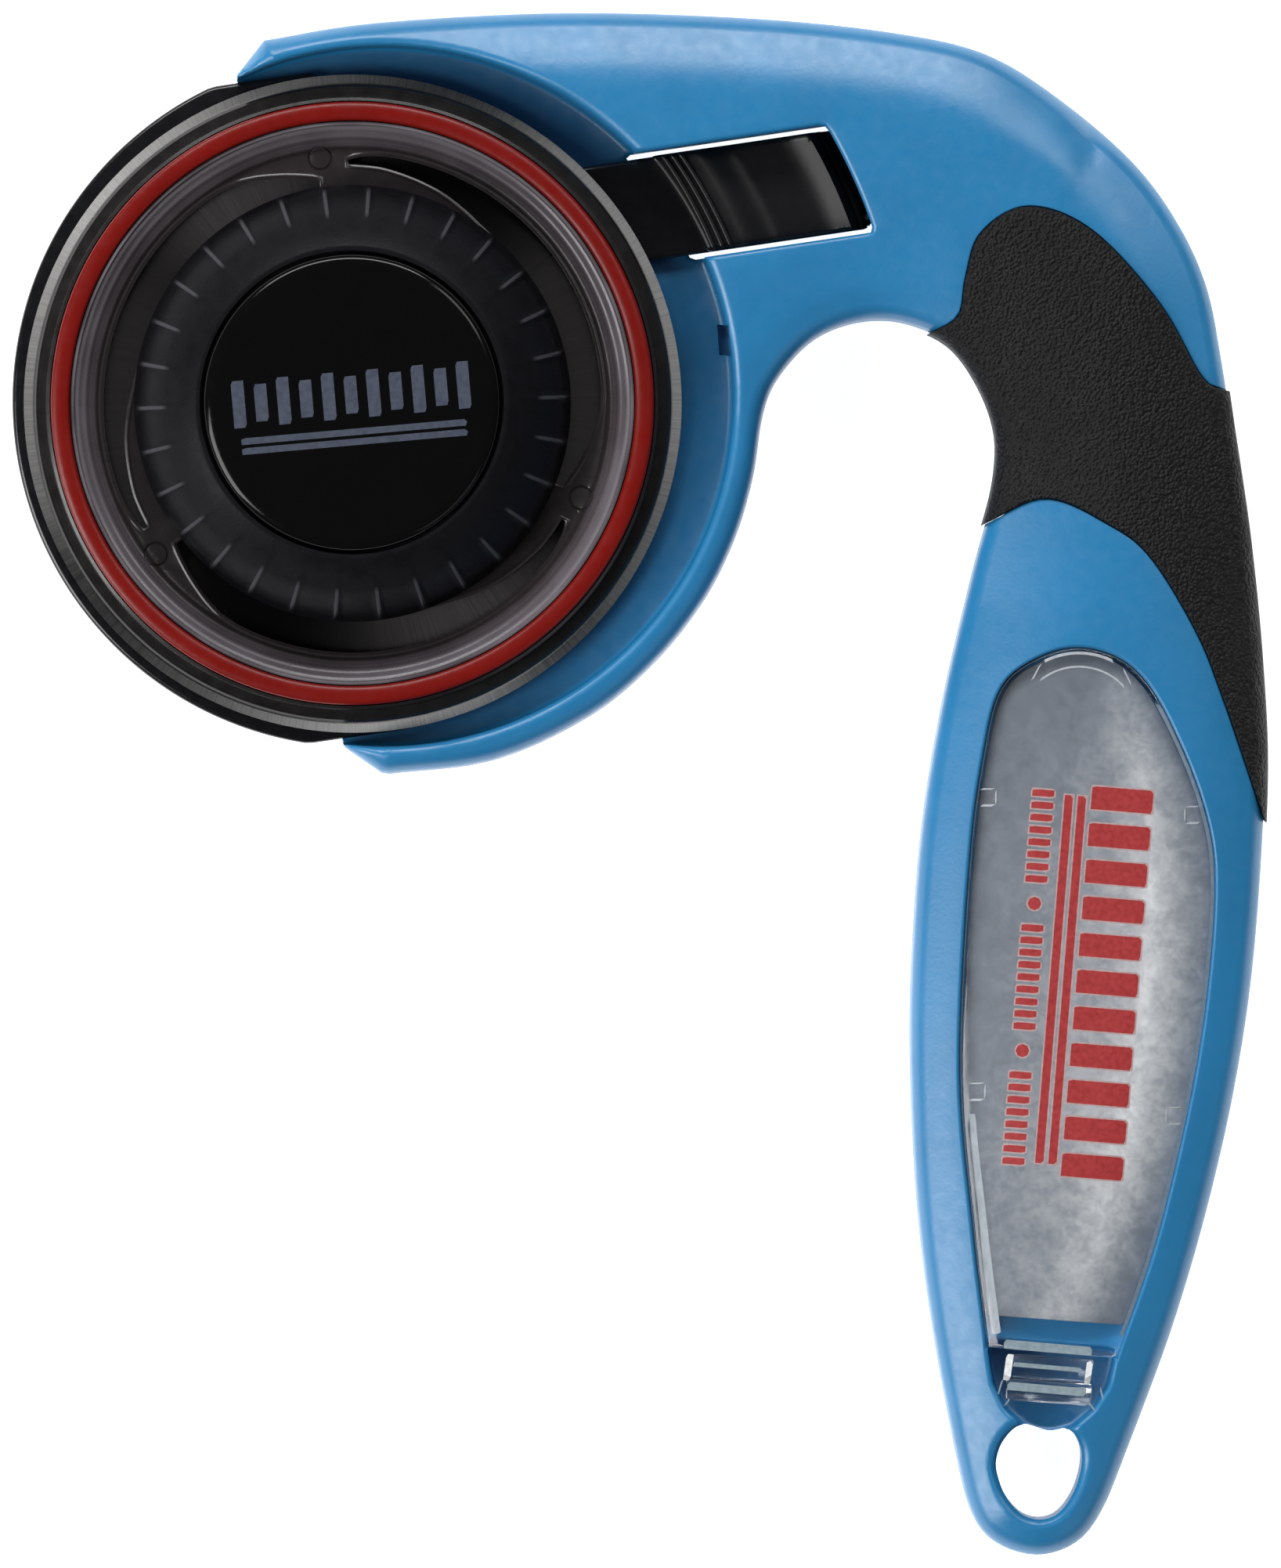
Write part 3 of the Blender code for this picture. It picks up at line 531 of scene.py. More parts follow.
class Look:
    """A material's node tree, with short ways to add the nodes used here."""

    def __init__(self, name, colour, roughness, **inputs):
        self.material = bpy.data.materials.new(name)
        self.material.use_nodes = True
        self.tree = self.material.node_tree
        self.shader = self.tree.nodes["Principled BSDF"]
        for key, value in {"Base_Color": (*colour, 1.0), "Roughness": roughness, **inputs}.items():
            self.fill(self.shader, key.replace("_", " "), value)
        self.place = self.node("TexCoord").outputs["Object"]

    def fill(self, node, key, value):
        """Give a node's input a plain value or a link."""
        if isinstance(value, bpy.types.NodeSocket):
            self.tree.links.new(value, node.inputs[key])
        else:
            node.inputs[key].default_value = value

    def node(self, kind, inputs=(), **settings):
        """Add a shader node with its settings and inputs."""
        made = self.tree.nodes.new("ShaderNode" + kind)
        for key, value in settings.items():
            setattr(made, key, value)
        for key, value in dict(inputs).items():
            self.fill(made, key, value)
        return made

    def noise(self, scale, detail=2.0, roughness=0.5, place=None, output="Fac"):
        """Cloudy noise; scale is in features a metre."""
        return self.node("TexNoise", {"Scale": scale, "Detail": detail, "Roughness": roughness,
                                      "Vector": place or self.place}).outputs[output]

    def warped(self, scale, reach):
        """Object place, pushed about by noise."""
        push = {0: self.noise(scale, output="Color"), 1: (reach, reach, reach), 2: self.place}
        return self.node("VectorMath", push, operation="MULTIPLY_ADD").outputs[0]

    def spread(self, value, low, high, from_low=0.3, from_high=0.7):
        """Map a range, by default a texture's middle range, to low..high."""
        return self.node("MapRange", {"Value": value, "From Min": from_low, "From Max": from_high,
                                      "To Min": low, "To Max": high}).outputs["Result"]

    def math(self, operation, first, second=0.0):
        return self.node("Math", {0: first, 1: second}, operation=operation).outputs[0]

    def plus(self, first, second):
        return self.math("ADD", first, second)

    def times(self, first, *others):
        for other in others:
            first = self.math("MULTIPLY", first, other)
        return first

    def off(self, value, centre=0.0):
        """How far a value lies from a centre, either way."""
        return self.math("ABSOLUTE", self.math("SUBTRACT", value, centre))

    def colours(self, value, *stops):
        """Colour ramp of (place, colour) stops; one number is a grey."""
        made = self.node("ValToRGB", {"Fac": value})
        ramp = made.color_ramp
        while len(ramp.elements) < len(stops):
            ramp.elements.new(0.5)
        for element, (spot, colour) in zip(ramp.elements, stops):
            element.position = spot
            element.color = (*(np.ones(3) * colour), 1.0)
        return made.outputs["Color"]

    def tones(self, value, colour, *stops):
        """Ramp of one colour's tones: (place, how bright) stops."""
        return self.colours(value, *((spot, np.array(colour) * bright) for spot, bright in stops))

    def split(self, vector):
        """The three parts of a vector."""
        return self.node("SeparateXYZ", {0: vector}).outputs

    def join(self, *parts):
        """A vector of three parts."""
        return self.node("CombineXYZ", enumerate(parts)).outputs[0]

    def polar(self, centre=AXIS):
        """Angle round an upright axis and distance from it, as two outputs."""
        shift = {0: self.place, 1: (centre[0] * MM, centre[1] * MM, 0.0)}
        x, y, _ = self.split(self.node("VectorMath", shift, operation="SUBTRACT").outputs[0])
        return self.math("ARCTAN2", y, x), self.math("SQRT", self.plus(self.times(x, x), self.times(y, y)))

    def shade(self, colour, factor):
        """A colour times a number."""
        return self.node("VectorMath", {0: colour, "Scale": factor}, operation="SCALE").outputs[0]

    def done(self, colour=None, roughness=None, relief=None, rise=0.0):
        """Link what varies over the surface. rise is the relief's height in metres for a full step."""
        if colour:
            self.fill(self.shader, "Base Color", colour)
        if roughness:
            self.fill(self.shader, "Roughness", roughness)
        if relief:
            bump = self.node("Bump", {"Strength": 1.0, "Distance": rise, "Height": relief})
            self.fill(self.shader, "Normal", bump.outputs["Normal"])
        return self.material


def moulded(name, colour, roughness, grain=2600.0, rise=0.000012, painted_recess_shade=0.0, **inputs):
    """Moulded plastic: slow drift of colour, uneven gloss, and a fine grained skin. The recess factor is
    how much painted shade darkens the flat floors deep in the case's recesses."""
    look = Look(name, colour, roughness, **inputs)
    tone = look.tones(look.noise(140.0, 3.0), colour, (0.3, 0.95), (0.7, 1.05))
    if painted_recess_shade:
        # Painted shade: flat faces that lie deep in the case, near its middle plane, are painted darker.
        low = look.spread(look.off(look.split(look.place)[2], MID * MM), 1.0, 0.0, 0.003, 0.0052)
        facing = look.split(look.node("NewGeometry").outputs["Normal"])[2]
        flat = look.spread(look.math("ABSOLUTE", facing), 0.0, 1.0, 0.8, 0.98)
        tone = look.shade(tone, look.math("SUBTRACT", 1.0, look.times(low, flat, painted_recess_shade)))
    gloss = look.spread(look.noise(900.0, 4.0), roughness - 0.04, roughness + 0.05)
    return look.done(tone, gloss, look.noise(grain), rise)


def thumb_look():
    """Thumb pieces: satin black, polished along the two long edges."""
    look = Look("thumb_plastic", (0.006, 0.006, 0.007), 0.4, Specular_IOR_Level=0.24)
    angle, radius = look.polar()
    across = look.times(radius, look.math("SINE", look.math("SUBTRACT", angle, SLIDE_ANGLE)))
    off_middle = look.off(across, (SLIDE_LOW_V + SLIDE_HIGH_V) / 2 * MM)
    tone = look.colours(look.noise(700.0, 3.0), (0.3, (0.004, 0.004, 0.0046)), (0.7, (0.0055, 0.0055, 0.006)))
    gloss = look.spread(off_middle, 0.38, 0.16, 0.0041, 0.0044)
    return look.done(tone, gloss, look.noise(1500.0, 3.0), 0.000012)


def grip_look():
    """Soft grip: near-black rubber with a leathery pebbled skin, the pebbles' tops painted paler and the pits
    darker as painted highlight and painted shade.
    """
    colour = (0.0058, 0.0056, 0.0064)
    look = Look("soft_grip", colour, 0.6, Specular_IOR_Level=0.24)
    grains = {"Scale": 3300.0, "Smoothness": 0.4, "Vector": look.warped(1100.0, 0.0003)}
    pebble = look.node("TexVoronoi", grains, feature="SMOOTH_F1").outputs["Distance"]
    relief = look.plus(look.times(pebble, -1.0), look.times(look.noise(6000.0), 0.5))
    # Painted highlight and painted shade: pebble tops are painted paler, the pits between them darker.
    return look.done(look.tones(pebble, colour, (0.05, 1.9), (0.6, 0.5)),
                     look.spread(look.noise(260.0, 3.0), 0.46, 0.6), relief, 0.00015)


def knob_look():
    """Knob plastic: satin black between narrow ribs whose tops are painted a little paler as a painted
    highlight.
    """
    colour = (0.0052, 0.0052, 0.0066)
    look = Look("knob_plastic", colour, 0.45, Specular_IOR_Level=0.09)
    angle, radius = look.polar()
    turn = look.plus(look.times(angle, KNOB_FLUTES), -2 * pi * RIB_PHASE)
    # Painted highlight: the ribs' tops are painted paler so that they read as lit all round.
    rib = look.times(look.spread(look.math("COSINE", turn), 0.0, 1.0, 0.94, 0.985),
                     look.spread(radius, 0.0, 1.0, 0.0168, 0.0174),
                     look.spread(radius, 1.0, 0.0, 0.0192, 0.0197))
    cloud = look.noise(700.0, 4.0)
    tone = look.plus(look.times(rib, 0.85), look.times(cloud, 0.15))
    tone = look.colours(tone, (0.03, np.array(colour) * 0.9), (0.12, np.array(colour) * 1.15),
                        (1.0, (0.052, 0.053, 0.06)))
    return look.done(tone, look.spread(cloud, 0.38, 0.52), look.noise(4200.0), 0.00002)


def smoke_look():
    """Smoke-coloured disc: dark floor and flange, a ramp painted paler as a painted highlight, fine turning
    lines.
    """
    look = Look("smoke_clear", (0.022, 0.018, 0.019), 0.24, Coat_Weight=0.2, Coat_Roughness=0.12,
                Specular_IOR_Level=0.38)
    radius = look.polar()[1]
    lines = look.noise(3800.0, place=look.join(radius, 0.0, 0.0))
    drift = look.times(look.math("SUBTRACT", look.plus(lines, look.noise(160.0)), 1.0), 0.0012)
    zone = look.spread(look.plus(radius, drift), 0.0, 1.0, 0.0222, 0.0282)
    # Painted highlight: the ramp, about 23.3 to 25.8 mm from the axis, is painted paler than the smoke
    # plastic.
    tone = look.colours(
        zone, (0.0, (0.021, 0.017, 0.018)), (0.18, (0.028, 0.023, 0.025)), (0.3, (0.075, 0.063, 0.07)),
        (0.4, (0.11, 0.096, 0.107)), (0.5, (0.17, 0.155, 0.172)), (0.6, (0.05, 0.04, 0.045)),
        (0.8, (0.02, 0.0165, 0.0165)), (1.0, (0.011, 0.0095, 0.009)))
    return look.done(tone, look.spread(look.noise(700.0, 3.0), 0.24, 0.36), lines, 0.000012)


def blade_look():
    """Blade steel: face painted dark as painted shade under the disc and knob, and a bright bevel with
    grinding lines that run outwards.
    """
    look = Look("blade_steel", (0.6, 0.59, 0.57), 0.5, Metallic=1.0, Anisotropic=1.0)
    angle, radius = look.polar()
    lines = look.noise(1.0, place=look.join(look.times(angle, 230.0), look.times(radius, 120.0), 0.0))
    zone = look.spread(radius, 0.0, 1.0, 0.029, 0.0292)
    # Painted shade: the face inside the bevel is painted near black; the bevel keeps its steel colour.
    ground = look.colours(zone, (0.0, (0.03, 0.028, 0.028)), (1.0, (0.27, 0.267, 0.262)))
    streak = look.times(look.math("SUBTRACT", lines, 0.5), look.times(zone, 1.1))
    round_axis = look.join(look.math("SINE", look.times(angle, -1.0)), look.math("COSINE", angle), 0.0)
    look.fill(look.shader, "Tangent", round_axis)
    return look.done(look.shade(ground, look.plus(streak, 1.0)), look.spread(lines, 0.46, 0.58),
                     look.times(lines, zone), 0.00003)


def metal_look(name, colour, roughness):
    """Plated or plain metal with fine scratches."""
    look = Look(name, colour, roughness, Metallic=1.0)
    drawn_out = look.node("Mapping", {"Scale": (1.0, 14.0, 1.0), "Vector": look.place}).outputs["Vector"]
    scratch = look.noise(900.0, 4.0, place=drawn_out)
    return look.done(look.tones(scratch, colour, (0.3, 0.85), (0.7, 1.1)),
                     look.spread(scratch, roughness - 0.08, roughness + 0.1), scratch, 0.000008)


def clear_look():
    """Clear lid plastic: thin, very slightly hazy, with faint wear."""
    look = Look("clear_plastic", (0.93, 0.96, 0.98), 0.06, Transmission_Weight=1.0, IOR=1.49)
    return look.done(None, look.spread(look.noise(320.0, 4.0), 0.03, 0.14), look.noise(170.0), 0.00002)


def card_look():
    """Backing card under the lid: frosted and mottled, with a painted reflection as a pale soft band near its
    right side and painted shade towards its sides and top.
    """
    look = Look("card", (0.4, 0.41, 0.43), 0.7)
    cloud = look.noise(520.0, 5.0, 0.65, place=look.warped(210.0, 0.0035))
    fibre = look.noise(1900.0, 3.0)
    # Painted reflection and painted shade: palest in a band near the right side, darker towards both side
    # edges.
    across = look.colours(look.spread(look.polar(LID_ARC_CENTRE)[1], 0.0, 1.0, 0.074, 0.0975), (0.0, 0.22),
                          (0.35, 0.4), (0.6, 0.55), (0.75, 0.92), (0.83, 0.64), (0.9, 0.44), (1.0, 0.36))
    # Painted shade: darker towards the card's top, and a little towards its lower end.
    along = look.colours(look.spread(look.split(look.place)[1], 0.0, 1.0, -0.052, 0.013), (0.0, 0.58),
                         (0.3, 0.95), (0.65, 0.9), (0.82, 0.64), (0.9, 0.48), (1.0, 0.3))
    mottle = look.spread(look.plus(look.times(cloud, 0.7), look.times(fibre, 0.3)), 0.78, 1.18, 0.38, 0.62)
    tone = look.colours(look.times(across, along, mottle), (0.0, (0.03, 0.036, 0.046)),
                        (0.3, (0.18, 0.197, 0.225)), (0.6, (0.44, 0.445, 0.46)), (1.0, 0.74))
    return look.done(tone, look.spread(fibre, 0.6, 0.85), fibre, 0.00003)


def print_look(name, colour):
    """Ink, and the flat painted highlights on clear pieces: flat colour with a little unevenness."""
    look = Look(name, colour, 0.5)
    ink = look.noise(2200.0, 3.0)
    return look.done(look.tones(ink, colour, (0.35, 0.88), (0.65, 1.08)), look.spread(ink, 0.42, 0.58))


# ---- Body ----

def shell(name, look, front):
    """One half of the case. Both halves share the recess, slot, run and hang hole; the front also has
    the storage compartment, the back also has the screw seats."""
    slot_lip = 0.45
    hang_lip = 1.1
    outline = resample(OUTLINE, 0.8)
    slot = resample(SLOT_LOOP if front else inset(SLOT_LOOP, -REAR_SLOT_EASE), 0.6)
    grip_edge = resample(inset(GRIP_AREA, -GRIP_GAP), 0.8)
    lid_edge = resample(LID_EDGE, 0.8)
    pocket = resample(inset(lid_edge, LEDGE_WIDTH), 0.8)
    lines = [inset(outline, deep + offset) for deep in (0.0, GRIP_CORE) for offset in EDGE_RINGS]
    lines += carve_rings(ring(RECESS_CENTRE, RECESS_RADIUS, 260), 0.9, 0.5)
    lines += insets(slot, -slot_lip, 1, 0.6, 0.25, 0.05, 0)
    lines += insets(HANG_LOOP, -hang_lip, 1, 0.7, 0.4, 0.15, 0.03, 0)
    lines += carve_rings(grip_edge, 0.15, 0.2) + insets(RUN_LOOP, STEEP, 0, 1)
    if front:
        lines += carve_rings(lid_edge, 0.3, 0.2) + insets(pocket, STEEP, 0, 1)
        lines += carve_rings(LATCH_LOOP, 0.5, 0.4) + carve_rings(NOTCH, 0.05, 0.05)
    else:
        for seat in SCREWS:
            lines += carve_rings(ring(seat, SCREW_SEAT_RADIUS, 40), 0.25, 0.2)

    def keep(points):
        inward = depth(points, outline)
        core = inside(points, grip_edge) & (inward < GRIP_CORE)
        return (inward > 0) & ~core & ~inside(points, slot) & ~inside(points, HANG_LOOP)

    def top(points):
        height = skin(points)
        in_grip = depth(points, grip_edge)
        height = carve(height, in_grip, np.minimum(height, skin(points, GRIP_CORE)), 0.15, 0.2)
        on_core = (in_grip > 0) & (depth(points, OUTLINE) < GRIP_CORE + 1e-3)
        height = np.where(on_core, SPLIT, height)
        height = carve(height, RECESS_RADIUS - away(points, RECESS_CENTRE), FLOOR_LEVEL, 0.9, 0.5)
        height = height - round_lip(depth(points, slot), slot_lip)
        height = height - round_lip(depth(points, HANG_LOOP), hang_lip)
        if front:
            height = carve(height, depth(points, lid_edge), LEDGE_LEVEL, 0.3, 0.2)
            height = np.minimum(height, blend(height, POCKET_FLOOR, step(depth(points, pocket))))
            height = carve(height, depth(points, LATCH_LOOP), LATCH_FLOOR, 0.5, 0.4)
            height = carve(height, depth(points, NOTCH), FLOOR_LEVEL - 1.2, 0.05, 0.05)
        else:
            for seat in SCREWS:
                into = SCREW_SEAT_RADIUS - away(points, seat)
                height = carve(height, into, DEPTH - SCREW_SEAT_LEVEL, 0.25, 0.2)
        return np.maximum(height, SPLIT)

    def bottom(points):
        return blend(SPLIT, DEPTH - WALL, step(depth(points, RUN_LOOP)))

    made = solid(name, lines, top, bottom, outline, 1.3, keep, flip=not front)
    dress(made, look, "body", "blue_plastic", "front_shell" if front else "back_shell")


def grip(name, look, front):
    """Soft grip skin on one half: stands a little proud, with a small round edge."""
    edge = 0.3
    lift = GRIP_PROUD if front else 0.0
    outline = resample(inset(OUTLINE, -GRIP_PROUD), 0.8)
    area = resample(GRIP_AREA, 0.7)
    lines = insets(outline, 1, *EDGE_RINGS, GRIP_PROUD + GRIP_CORE)
    lines += insets(area, edge, 0, 0.06, 0.25, 0.55, 1)

    def keep(points):
        return inside(points, outline) & inside(points, area)

    def top(points):
        inward = depth(points, outline)
        height = body_surface(points, inward, GRIP_PROUD) + lift
        height = height - quarter(depth(points, area), edge) * np.clip(inward / 1.5, 0, 1)
        return np.where(inward < 1e-4, SPLIT, np.maximum(height, SPLIT))

    def bottom(points):
        core = np.maximum(skin(points, GRIP_CORE) + 0.08, SPLIT)
        return np.where(depth(points, OUTLINE) < GRIP_CORE + 0.02, SPLIT, core)

    made = solid(name, lines, top, bottom, area, 1.0, keep, flip=not front)
    dress(made, look, "body", "soft_grip", "front_grip" if front else "back_grip")


def case_screws(look):
    """Case screws: domed heads with a cross recess, one piece each."""
    profile = ((0, 17), (1.25, 17), (1.25, 2.6), (2.2, 2.6), (2.2, 1.9), (1.95, 1.65), (1.2, 1.5), (0, 1.45))
    for number, seat in enumerate(SCREWS, 1):
        screw = turned(f"case_screw_{number}_head", profile, 32, centre=seat)
        for turn in (0.35, 0.35 + pi / 2):
            cross_cut(screw, seat, turn)
        dress(screw, look, "body", "plated_steel", f"case_screw_{number}")


def cross_cut(screw, seat, turn):
    """Cut one groove of a screw's cross recess, from below."""
    edit = bmesh.new()
    bmesh.ops.create_cube(edit, size=1.0)
    bmesh.ops.scale(edit, verts=edit.verts, vec=(2.5 * MM, 0.5 * MM, 1.6 * MM))
    cutter = put("cross", edit)
    cutter.data.materials.append(None)
    cutter.location = (seat[0] * MM, seat[1] * MM, 1.45 * MM)
    cutter.rotation_euler = (0, 0, turn)
    change = screw.modifiers.new("cross", "BOOLEAN")
    change.operation = "DIFFERENCE"
    change.object = cutter
    bpy.context.view_layer.update()
    done = bpy.data.meshes.new_from_object(screw.evaluated_get(bpy.context.evaluated_depsgraph_get()))
    screw.modifiers.clear()
    screw.data = done
    bpy.data.objects.remove(cutter)


def bolt(look):
    """Blade bolt: broad rounded head behind the floor plate, shoulder and flatted thread."""
    profile = ((0, 25), (2.5, 25), (2.9, 24.6), (2.9, 17.2), (3.9, 17.2), (3.9, 8.7), (6.6, 8.7),
               (7, 8.3), (7, 6.4), (6.8, 5.95), (6.3, 5.65), (3.4, 5.6), (3.1, 5.9), (0, 5.95))
    dress(turned("bolt", profile, 96), look, "body", "plated_steel", "blade_bolt")


# ---- Guard and thumb slides ----

def guard(look):
    """Blade guard plate: left half disc with two flats, a middle plate, the arm that carries the thumb
    slides, and the slot that lets it pass the bolt."""
    centre = np.array((0.6, 0.2))
    flat = 30.3
    lean = pi / 2 + 0.293
    clear = 4.3
    edge = 0.4
    shape = [(1.6, centre[1] + flat), *arc(centre, 31.65, lean, 2 * pi - lean, 90), (1.6, centre[1] - flat),
             (1.6, -20), (8, -18), (16, -8), (20, 4), (24, SLIDE_LOW_V), (40.8, SLIDE_LOW_V),
             (40.8, 11.6), (52, 11.6), (52, SLIDE_HIGH_V), (14, SLIDE_HIGH_V), (1.6, 20)]
    outline = resample(inset(rounded(from_slide(shape), 1.2), 0.02), 0.8)
    bore = from_slide(np.vstack((arc((0, 0), clear, -pi / 2, pi / 2, 16),
                                 arc((-GUARD_TRAVEL - 0.2, 0), clear, pi / 2, 3 * pi / 2, 16))))

    def keep(points):
        return inside(points, outline) & ~inside(points, bore)

    def top(points):
        return GUARD_HIGH - quarter(depth(points, outline), edge)

    lines = insets(outline, edge, 0, 0.08, 0.3, 0.6, 1) + [bore]
    made = solid("guard_shield", lines, top, GUARD_LOW, outline, 2.5, keep)
    dress(made, look, "guard", "black_plastic", "guard_plate")


def thumb_slide(name, look, front):
    """Thumb piece: three curved ribs, a dish for the thumb and a rounded far lip."""
    spare = 0.0 if front else REAR_SLOT_EASE
    low_v = SLIDE_LOW_V + spare
    high_v = SLIDE_HIGH_V - spare
    end = SLIDE_END_RADIUS if front else REAR_SLIDE_END_RADIUS
    edge = 0.4
    crest = THUMB_TOP - 0.55
    outline = resample(rounded(radial_band(SLIDE_START_RADIUS, end, low_v, high_v), 0.8), 0.35)
    lines = insets(outline, edge, 0, 0.06, 0.25, 0.55, 1)
    across = np.linspace(low_v - 1, high_v + 1, 30)
    for place_u in RIB_PLACES:
        for offset in np.linspace(-RIB_HALF, RIB_HALF, 7):
            rib = np.column_stack((place_u + offset - RIB_BEND * across * across, across))
            lines.append(from_slide(np.vstack((rib, ((60.0, high_v + 2), (60.0, low_v - 2))))))
    for radius in np.linspace(SLIDE_LIP_RADIUS - 4.0, SLIDE_LIP_RADIUS + 0.9, 13):
        lines.append(radial_band(radius, SLIDE_END_RADIUS + 3, low_v - 1, high_v + 1, 24))

    def top(points):
        u, v = to_slide(points)
        from_rib = u + RIB_BEND * v * v - RIB_PLACES[-1]
        fall = np.clip((from_rib - 0.5) / 4.5, 0, 1)
        to_lip = SLIDE_LIP_RADIUS - np.hypot(u, v)
        beyond = np.clip(-to_lip / 0.8, 0, 1)
        height = crest - (crest - DISH_LEVEL) * fall ** 2 * (3 - 2 * fall)
        height = height + 0.8 * np.clip(1 - to_lip / 2.8, 0, 1) ** 2 - 1.9 * (1 - np.sqrt(1 - beyond ** 2))
        for place_u in RIB_PLACES:
            rib = np.clip(1 - ((from_rib + RIB_PLACES[-1] - place_u) / RIB_HALF) ** 2, 0, 1)
            height = height + RIB_RISE * np.sqrt(rib)
        return np.minimum(height, THUMB_TOP) - quarter(depth(points, outline), edge)

    made = solid(name, lines, top, THUMB_LOW if front else REAR_THUMB_LOW, outline, 0.6, flip=not front)
    dress(made, look, "guard", "black_plastic", "front_thumb_slide" if front else "rear_thumb_slide")


# ---- Blade, guide disc, ring, knob ----

def blade(look):
    """Round blade with a ground bevel on both faces."""
    middle = (BLADE_LOW + BLADE_HIGH) / 2
    edge = 0.015
    profile = ((4, BLADE_HIGH), (28.9, BLADE_HIGH), (BLADE_RADIUS, middle + edge),
               (BLADE_RADIUS, middle - edge), (28.9, BLADE_LOW), (4, BLADE_LOW))
    made = turned("round_blade", profile, 360, closed=True, sharp=5.0)
    dress(made, look, "cutting_blade", "blade_steel", "blade")


def arm_slots():
    """Three curved slots that free the spring arms: each starts at a point and ends in a kink."""
    sweep = np.arange(0.0, 113.1, 1.5)
    outer = np.interp(sweep, (0, 3, 8, 88, 93, 97, 113), (22.2, 22.5, 22.7, 22.7, 22.55, 22.2, 20.5))
    inner = np.interp(sweep, (0, 8, 23, 36, 50, 113), (21.8, 21.7, 21.0, 20.1, 19.5, 19.5))
    radius = np.concatenate((outer, inner[::-1]))
    slots = []
    for number in range(3):
        angle = SLOT_TIP - 2 * pi / 3 * number - np.radians(np.concatenate((sweep, sweep[::-1])))
        slots.append(AXIS + np.column_stack((radius * np.cos(angle), radius * np.sin(angle))))
    return slots


def guide_disc(look):
    """Guide disc: flat floor with three spring arms and a round dot at the root of each, a beaded ramp,
    a rim with the ring's groove, and a thin flange."""
    spots = (0.0, 22.9, 23.3, 25.25, 25.42, 25.66, 25.72, 27.52, 27.58, 27.85, 28.0, 28.85, DISC_RADIUS)
    levels = (17.0, 17.0, 17.25, 18.75, 19.2, 19.2, 18.2, 18.2, 19.2, 19.05, 16.75, 16.68, 16.45)
    slots = arm_slots()
    dots = [AXIS + 22.55 * np.array((cos(a), sin(a))) for a in (radians(97.5 + 120 * k) for k in range(3))]
    lines = [ring(AXIS, radius, 300) for radius in (*spots[:3:-1], *np.linspace(25.25, 23.05, 23))]
    lines += [ring(AXIS, radius, 180) for radius in (19.0, 14.0, 9.0)] + [ring(AXIS, DISC_BORE, 48)]
    lines += [ring(dot, radius, 32) for dot in dots for radius in (0.92, 1.0, 1.08, 1.16)] + slots
    for slot in slots:
        lines += insets(slot, -1, 0.06, 0.15, 0.24, 0.33, 0.42, 0.5)

    def keep(points):
        kept = (away(points) < DISC_RADIUS) & (away(points) > DISC_BORE)
        for slot in slots:
            kept &= ~inside(points, slot)
        return kept

    def top(points):
        height = np.interp(away(points), spots, levels)
        for bead in BEADS:
            height = height + 0.11 * np.exp(-((away(points) - bead) / 0.17) ** 2)
        for dot in dots:
            height = height - np.where(np.abs(away(points, dot) - 1.04) < 0.06, 0.16, 0)
        for slot in slots:
            beside = np.clip(-depth(points, slot) / 0.5, 0, 1)
            height = height + 0.1 * np.sin(pi * beside) ** 2
        return height

    made = solid("edge_guide_disc", lines, top, DISC_LOW, keep=keep)
    dress(made, look, "guide", "smoke_clear", "guide_disc")


def guide_ring(look):
    """Red ring in the disc's rim, with a rounded top."""
    middle = 26.62
    half = 0.86
    dome = [(middle - half * cos(t), 19.25 + 0.42 * sin(t) ** 0.7) for t in np.linspace(0, pi, 13)]
    profile = [(middle - half, 18.3), *dome, (middle + half, 18.3)]
    dress(turned("rim_ring", profile, 300, closed=True), look, "guide", "red_ring", "guide_ring")


def flute(angle, radius, height):
    """Depth of the knob's flutes: broad scoops between narrow ribs, fading out at the bevel."""
    start = 16.4
    if radius < start or height < 18.3:
        return 0.0
    phase = angle * KNOB_FLUTES / (2 * pi) - RIB_PHASE
    t = min(max((abs(phase - round(phase)) - 0.025) / 0.09, 0.0), 1.0)
    return FLUTE_DEPTH * t * t * (3 - 2 * t) * min((radius - start) / 2.6, 1.0)


def knob(look, cap_look):
    """Fluted clamping knob and the flat glossy cap let into it."""
    profile = ((0, 26.3), (13.75, 26.3), (13.75, 27.2), (13.85, 27.36), (14.15, 27.4), (14.4, 27.32),
               (16, 26.1), (17.2, 25.18), (17.5, 24.95), (18.1, 24.4), (18.7, 23.75), (19.2, 23.1),
               (19.55, 22.4), (19.8, 21.4), (19.9, 20), (19.9, 18.2), (19.75, 18), (18.3, 18),
               (18.3, 19.4), (16.4, 23.2), (7.3, 24.4), (7.3, 19.6), (5.6, 19.6), (5.6, 25.6), (0, 25.6))
    made = turned("fluted_knob", profile, KNOB_FLUTES * 16, ripple=flute, sharp=50.0)
    dress(made, look, "clamping_knob", "knob_plastic", "knob")
    cap = ((0, CAP_TOP), (6, CAP_TOP - 0.01), (12.3, CAP_TOP - 0.06), (13, CAP_TOP - 0.12),
           (13.35, CAP_TOP - 0.3), (13.5, CAP_TOP - 0.58), (13.55, 26.6), (0, 26.6))
    dress(turned("cap_disc", cap, 240), cap_look, "clamping_knob", "cap_plastic", "knob_cap")


# ---- Storage compartment ----

def let_light_in(obj):
    """A clear piece lets light through to what lies under it."""
    obj.visible_shadow = False
    obj.visible_diffuse = False


def lid_face(points):
    """Height of the lid's outer face."""
    return skin(points) - LID_SUNK


